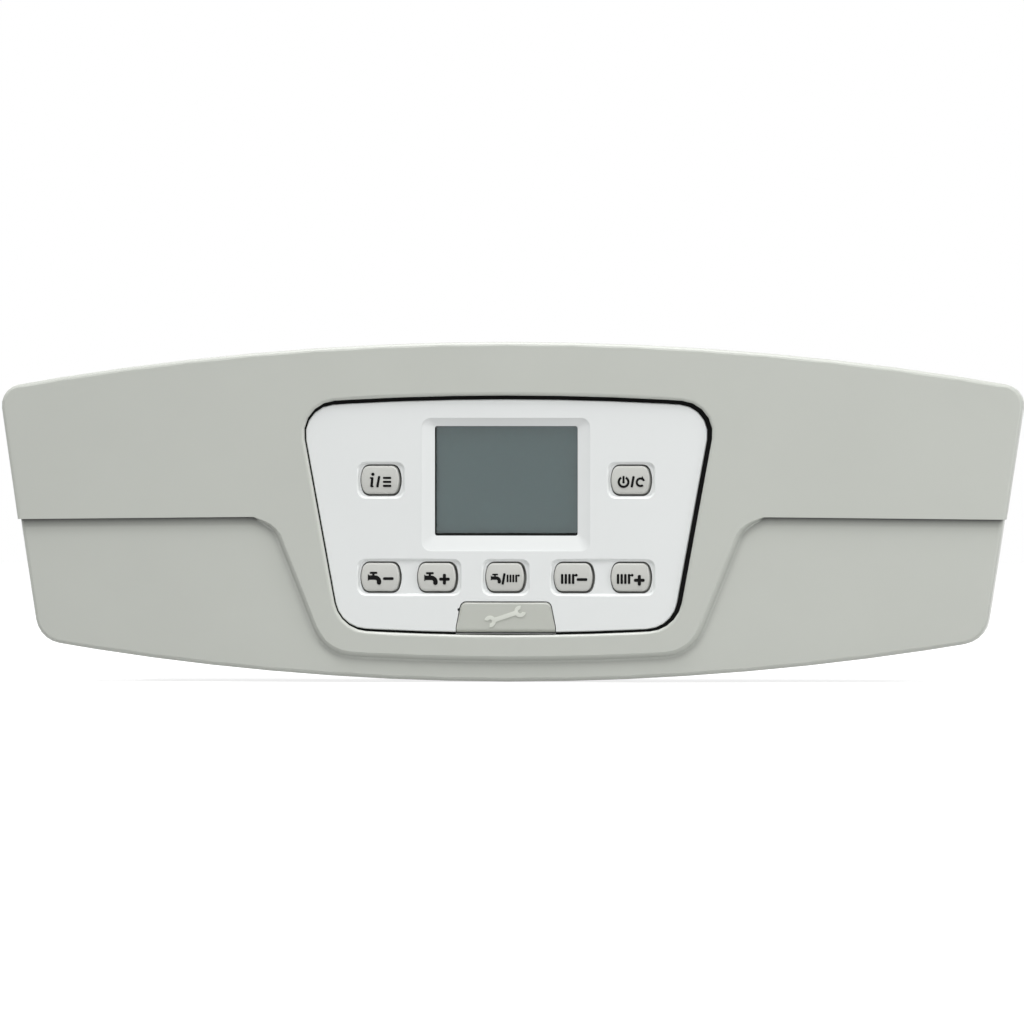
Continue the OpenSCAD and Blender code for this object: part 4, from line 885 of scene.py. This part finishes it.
def radiator_sign(x, z, pitch, height):
    """Four upright sections from x to the right, and the valve at the last one's top"""
    line = 0.68 * pitch
    last = x + 3 * pitch
    top = z + height / 2
    parts = [bar(x + i * pitch, z, line, height) for i in range(4)]
    parts.append(stroke(last, top - 0.55 * line, last + 0.85 * pitch, top - 0.55 * line, 0.62 * line))
    parts.append(disc(last + 0.85 * pitch, top - 0.5 * line, 0.56 * line))
    return parts


def tap_sign(x, z, size):
    """Bib tap from its wall flange at x to the right: body, handle, and a spout that turns down"""
    return [
        flare(x + 0.5 * size, z, 1.0 * size, 2.85 * size, 1.45 * size),
        bar(x + 2.0 * size, z, 2.6 * size, 1.9 * size, 0, 0),
        arc(x + 3.1 * size, z - 1.75 * size, 1.75 * size, 1.9 * size, -12, 108, 12),
        disc(x + 4.8 * size, z - 2.1 * size, 0.96 * size),
        bar(x + 2.4 * size, z + 1.25 * size, 1.0 * size, 1.3 * size, 0, 0),
        bar(x + 2.45 * size, z + 2.0 * size, 3.3 * size, 0.9 * size),
    ]


class OBJECT_OT_panel_marks(Operator):
    """Prints the dark signs on the keys"""

    bl_idname = "object.panel_marks"
    bl_label = "Key marks"

    def execute(self, context):
        s = context.scene.panel_marks
        signs = {
            "key_info": lambda: [disc(-3.4, 2.5, 0.7), stroke(-4.05, -3.0, -3.65, 1.3, 1.1),
                                 bar(-4.1, 0.95, 1.3, 0.7), bar(-3.75, -2.7, 1.2, 0.7), *slash(-1.1),
                                 *[bar(2.7, z, 3.6, 0.95) for z in (0.95, -0.75, -2.45)]],
            "key_power": lambda: [arc(-3.25, -0.75, 2.07, 1.0, 117, 306, 30),
                                  stroke(-3.25, 1.9, -3.25, -1.1, 0.9),
                                  disc(-3.25, -0.85, 0.55), *slash(0.65),
                                  arc(4.0, -0.85, 1.6, 0.95, 20, 290, 28), disc(4.75, 0.85, 0.95, 3)],
            "key_water_down": lambda: tap_sign(-5.6, -0.15, 1.0) + minus_sign(3.25, -0.6),
            "key_water_up": lambda: tap_sign(-5.7, -0.25, 1.0) + plus_sign(3.0, -0.8),
            "key_mode": lambda: (tap_sign(-6.4, -0.3, 0.76) + slash(-0.9)
                                 + radiator_sign(0.8, -0.45, 1.24, 3.3)),
            "key_heat_down": lambda: radiator_sign(-5.1, -0.65, 1.57, 4.3) + minus_sign(3.4, -0.9),
            "key_heat_up": lambda: radiator_sign(-5.6, -0.65, 1.57, 4.3) + plus_sign(3.5, -1.2),
        }
        for node, draw in signs.items():
            x, z = middle(node)
            piece = fused(draw())
            piece.scale = (MM, MM, MM)
            piece.rotation_euler = (0, 0, math.asin(x / BOW_RADIUS))
            piece.location = (x, surface_y(bpy.data.objects[node + "_cap"], x, z) - s.ink_height, z)
            smooth(settle(piece), 25)
            finished(piece, "mark_" + node[4:], node, finish("ink"))
        return {"FINISHED"}


def surface_y(piece, x, z):
    """Depth at which a piece is met from the front at this place"""
    bpy.context.view_layer.update()
    hit, spot, _, _ = piece.ray_cast((x, -1, z), (0, 1, 0))
    if not hit:
        raise RuntimeError(f"{piece.name} isn't in front at {x:.4f}, {z:.4f}")
    return spot.y


class OBJECT_OT_panel_flap(Operator):
    """Makes the service flap and the raised double spanner on it"""

    bl_idname = "object.panel_flap"
    bl_label = "Service flap"

    def execute(self, context):
        s = context.scene.panel_marks
        piece = merged_copy("service_flap")
        self.soften_rim(piece)
        calm_shading(piece, large=20.0)
        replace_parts(finished(piece, "service_flap_plate", "service_flap",
                             finish("service_flap")), "service_flap")
        low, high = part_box("service_flap")
        tool = self.spanner(s.tool_length / MM)
        x = (low.x + high.x) / 2 - 0.3 * MM
        z = low.z + (high.z - low.z) * 0.53
        sunk = 0.1 * MM
        tool.scale = (MM, (s.tool_height + sunk) / SIGN_DEPTH, MM)
        tool.rotation_euler = (0, -s.tool_turn, 0)
        tool.location = (x, surface_y(piece, x, z) - s.tool_height, z)
        settle(tool)
        modify(tool, "BEVEL", width=0.34 * MM, segments=4, limit_method="ANGLE",
               angle_limit=math.radians(50), use_clamp_overlap=True)
        smooth(tool, 50)
        # The spanner's finish is lighter than the flap's: a painted highlight
        finished(tool, "flap_tool_mark", "service_flap", finish("tool_mark"))
        return {"FINISHED"}

    def spanner(self, length):
        """Double spanner of this length, lying level: a shaft and two open rings"""
        head = 2.5
        jaw = 0.85
        half = length / 2 - head
        shaft = bar(0, 0, 2 * half - 2.9, 1.9, 0, 0)
        shaft.scale = (1, 1.15, 1)
        shaft.location = (0, -0.02, 0)
        parts = [settle(shaft)]
        for side, opening in ((-1, 197), (1, 17)):
            parts.append(arc(side * half, 0, (head + jaw) / 2, head - jaw, opening + 48, 264, 22))
        return fused(parts)

    def soften_rim(self, piece):
        """Slopes the flap's top and side rims, and makes its rolled lower edge squarer"""
        rim_width, rim_fall, fullness = 0.8 * MM, 0.5 * MM, 0.12
        rim = [v.co.copy() for v in piece.data.vertices if v.co.y < FLAP_RIM and v.co.z > FLAP_ROLL_TOP]
        pick_mode(piece, "FACE")
        for p in piece.data.polygons:
            p.select = p.normal.y < -0.999 and p.center.y < FLAP_FACE
        bpy.ops.object.mode_set(mode="EDIT")
        bpy.ops.mesh.inset(thickness=rim_width)
        bpy.ops.object.mode_set(mode="OBJECT")
        move_where(piece, lambda co: any((co - p).length < 0.01 * MM for p in rim), (0, rim_fall, 0))
        rows = {}
        for v in piece.data.vertices:
            deep, down = v.co.y - FLAP_ROLL_Y, v.co.z - FLAP_ROLL_Z
            if deep < -0.0003 and down < -0.0003:
                swell = fullness * math.sin(2 * math.atan2(down, deep)) ** 2
                rows.setdefault((round(deep * swell, 6), round(down * swell, 6)), []).append(v.index)
        for (out, down), row in rows.items():
            move_points(piece, row, (0, out, down))


class OBJECT_OT_panel_display(Operator):
    """Puts a black frame round the display's window as painted shade, widest at the bottom, and finishes
    the parts behind it
    """

    bl_idname = "object.panel_display"
    bl_label = "Display"

    def execute(self, context):
        low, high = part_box("display_window")
        x, z = middle("display_window")
        # Painted shade: the frame stands in for the shade along the window's edges; its opening is moved up
        # and right, so the frame is widest at the bottom and on the left
        lap, line = 3.6 * MM, 1.6 * MM
        bpy.ops.mesh.primitive_plane_add(size=1, location=(x, low.y - 0.03 * MM, z),
                                         rotation=(math.pi / 2, 0, 0))
        border = bpy.context.active_object
        border.scale = (high.x - low.x - lap, high.z - low.z - lap, 1)
        settle(border)
        bpy.ops.object.mode_set(mode="EDIT")
        bpy.ops.mesh.select_all(action="SELECT")
        bpy.ops.mesh.inset(thickness=line)
        bpy.ops.transform.translate(value=(0.2 * MM, 0, 0.72 * MM))
        bpy.ops.mesh.delete(type="FACE")
        bpy.ops.object.mode_set(mode="OBJECT")
        modify(border, "SOLIDIFY", thickness=0.02 * MM, offset=0)
        smooth(border, 32)
        finished(border, "window_painted_shade", "panel", finish("window_painted_shade"))
        for node in ("display_window", "display_cell", "display_carrier", "backlight"):
            paint(node, node)
        return {"FINISHED"}


class OBJECT_OT_panel_housing(Operator):
    """Makes the black housing, its lugs and the hinged wiring cover"""

    bl_idname = "object.panel_housing"
    bl_label = "Housing and cover"

    def execute(self, context):
        edge = context.scene.panel_shells.cover_edge
        shell = calm_shading(merged_copy("housing", whole_flats=False), LARGE_FACE)
        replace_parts(finished(shell, "housing_shell", "panel", finish("housing")), "housing")
        lugs = moulded_copy("catch_lugs", edge, 40)
        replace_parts(finished(lugs, "catch_lug_pair", "panel", finish("housing")), "catch_lugs")
        cover = moulded_copy("wiring_cover", edge, 40)
        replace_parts(finished(cover, "wiring_cover_plate", "wiring_cover",
                             finish("wiring_cover")), "wiring_cover")
        return {"FINISHED"}


def paint(node, name):
    """Gives a solid that is shown as it is its finish"""
    o = frame["nodes"][node]
    for s in o.material_slots:
        s.material = finish(name)
    if not o.material_slots:
        o.data.materials.append(finish(name))


class OBJECT_OT_panel_inside(Operator):
    """Finishes the boards, components, screws and other parts inside the housing"""

    bl_idname = "object.panel_inside"
    bl_label = "Inside parts"

    def execute(self, context):
        for entry in frame["record"]["subparts"]:
            if not frame["nodes"][entry["node"]].hide_render:
                paint(entry["node"], entry["material_slot"])
        return {"FINISHED"}


class OBJECT_OT_panel_stage(Operator):
    """Makes the pale floor, the soft light, the white surround and the camera"""

    bl_idname = "object.panel_stage"
    bl_label = "Studio"

    def execute(self, context):
        scene = context.scene
        s = scene.panel_stage
        self.floor(CAD_BOUNDS[0].z)
        self.surround(scene, s.sky)
        for name, spot, size, share in LAMPS:
            self.lamp(name, spot, size, s.lamp * share)
        self.camera(scene, s)
        scene.view_settings.view_transform = "Standard"
        return {"FINISHED"}

    def floor(self, lowest):
        """Pale floor just below the panel"""
        bpy.ops.mesh.primitive_plane_add(size=FLOOR_SIZE, location=(0, 0, lowest - FLOOR_GAP))
        floor = settle(bpy.context.active_object)
        floor.name = "studio_floor"
        m, tree, shader = blank("floor_pale")
        shader.inputs["Roughness"].default_value = 0.9
        shader.inputs["Specular IOR Level"].default_value = 0.1
        tint = ramp(tree, noise(tree, 3, 2).outputs["Fac"], (0.49, 0.49, 0.49), (0.51, 0.51, 0.51))
        tree.links.new(tint.outputs["Color"], shader.inputs["Base Color"])
        lift(tree, shader, FLOOR_LIFT)
        floor.data.materials.append(m)

    def surround(self, scene, sky):
        """White all round for the camera and reflections, and an even light for the rest"""
        world = bpy.data.worlds.new("studio_white")
        scene.world = world
        world.use_nodes = True
        tree = world.node_tree
        white = tree.nodes["Background"]
        white.inputs["Color"].default_value = (1, 1, 1, 1)
        seen = either(tree, add(tree, "ShaderNodeLightPath"))
        strength = add(tree, "ShaderNodeMapRange")
        strength.inputs["To Min"].default_value = sky
        strength.inputs["To Max"].default_value = 1.0
        tree.links.new(seen.outputs["Value"], strength.inputs["Value"])
        tree.links.new(strength.outputs["Result"], white.inputs["Strength"])

    def camera(self, scene, s):
        """Camera at the photograph's angle, far off with a long lens"""
        aim = Vector(s.aim)
        a, e = s.azimuth, s.elevation
        back = Vector((math.sin(a) * math.cos(e), -math.cos(a) * math.cos(e), math.sin(e)))
        bpy.ops.object.camera_add(location=aim + back * s.distance)
        camera = bpy.context.active_object
        camera.name = "studio_camera"
        camera.rotation_mode = "QUATERNION"
        camera.rotation_quaternion = (-back).to_track_quat("-Z", "Y")
        camera.data.lens = s.lens
        camera.data.clip_end = 50
        scene.camera = camera

    def lamp(self, name, spot, size, power):
        """Soft square lamp that faces the panel"""
        bpy.ops.object.light_add(type="AREA", location=spot)
        lamp = bpy.context.active_object
        lamp.name = name
        lamp.data.size = size
        lamp.data.energy = power
        lamp.rotation_mode = "QUATERNION"
        lamp.rotation_quaternion = (Vector(LAMP_AIM) - Vector(spot)).to_track_quat("-Z", "Y")


def either(tree, path):
    """1 where a ray comes from the camera, a reflection or a clear piece"""
    first = add(tree, "ShaderNodeMath", operation="MAXIMUM")
    second = add(tree, "ShaderNodeMath", operation="MAXIMUM")
    tree.links.new(path.outputs["Is Camera Ray"], first.inputs[0])
    tree.links.new(path.outputs["Is Glossy Ray"], first.inputs[1])
    tree.links.new(first.outputs["Value"], second.inputs[0])
    tree.links.new(path.outputs["Is Transmission Ray"], second.inputs[1])
    return second


def lift(tree, shader, amount):
    """Lets the floor show white where it is lit and keep its shadow"""
    seen = either(tree, add(tree, "ShaderNodeLightPath"))
    glow = add(tree, "ShaderNodeEmission")
    gain = add(tree, "ShaderNodeMath", operation="MULTIPLY")
    gain.inputs[1].default_value = amount
    tree.links.new(seen.outputs["Value"], gain.inputs[0])
    tree.links.new(gain.outputs["Value"], glow.inputs["Strength"])
    both = add(tree, "ShaderNodeAddShader")
    tree.links.new(shader.outputs["BSDF"], both.inputs[0])
    tree.links.new(glow.outputs["Emission"], both.inputs[1])
    tree.links.new(both.outputs["Shader"], tree.nodes["Material Output"].inputs["Surface"])


OPERATORS = (
    OBJECT_OT_panel_fascia,
    OBJECT_OT_panel_insert,
    OBJECT_OT_panel_keys,
    OBJECT_OT_panel_marks,
    OBJECT_OT_panel_flap,
    OBJECT_OT_panel_display,
    OBJECT_OT_panel_housing,
    OBJECT_OT_panel_inside,
    OBJECT_OT_panel_stage,
)


class VIEW3D_PT_boiler_panel(Panel):
    """Lists the panel's pieces and their settings"""

    bl_idname = "VIEW3D_PT_boiler_panel"
    bl_label = "Boiler control panel"
    bl_space_type = "VIEW_3D"
    bl_region_type = "UI"
    bl_category = "Boiler Panel"

    def draw(self, context):
        for attribute, group in GROUPS:
            box = self.layout.box()
            box.label(text=group.__doc__)
            for name in group.__annotations__:
                box.prop(getattr(context.scene, attribute), name)
        for operator in OPERATORS:
            self.layout.operator(operator.bl_idname)


def register():
    for _, group in GROUPS:
        bpy.utils.register_class(group)
    for attribute, group in GROUPS:
        setattr(bpy.types.Scene, attribute, PointerProperty(type=group))
    for operator in OPERATORS:
        bpy.utils.register_class(operator)
    bpy.utils.register_class(VIEW3D_PT_boiler_panel)


def unregister():
    bpy.utils.unregister_class(VIEW3D_PT_boiler_panel)
    for operator in reversed(OPERATORS):
        bpy.utils.unregister_class(operator)
    for attribute, group in reversed(GROUPS):
        delattr(bpy.types.Scene, attribute)
        bpy.utils.unregister_class(group)


def main():
    register()
    bpy.ops.object.panel_fascia()
    bpy.ops.object.panel_insert()
    bpy.ops.object.panel_keys()
    bpy.ops.object.panel_marks()
    bpy.ops.object.panel_flap()
    bpy.ops.object.panel_display()
    bpy.ops.object.panel_housing()
    bpy.ops.object.panel_inside()
    bpy.ops.object.panel_stage()


if __name__ == "__main__":
    main()
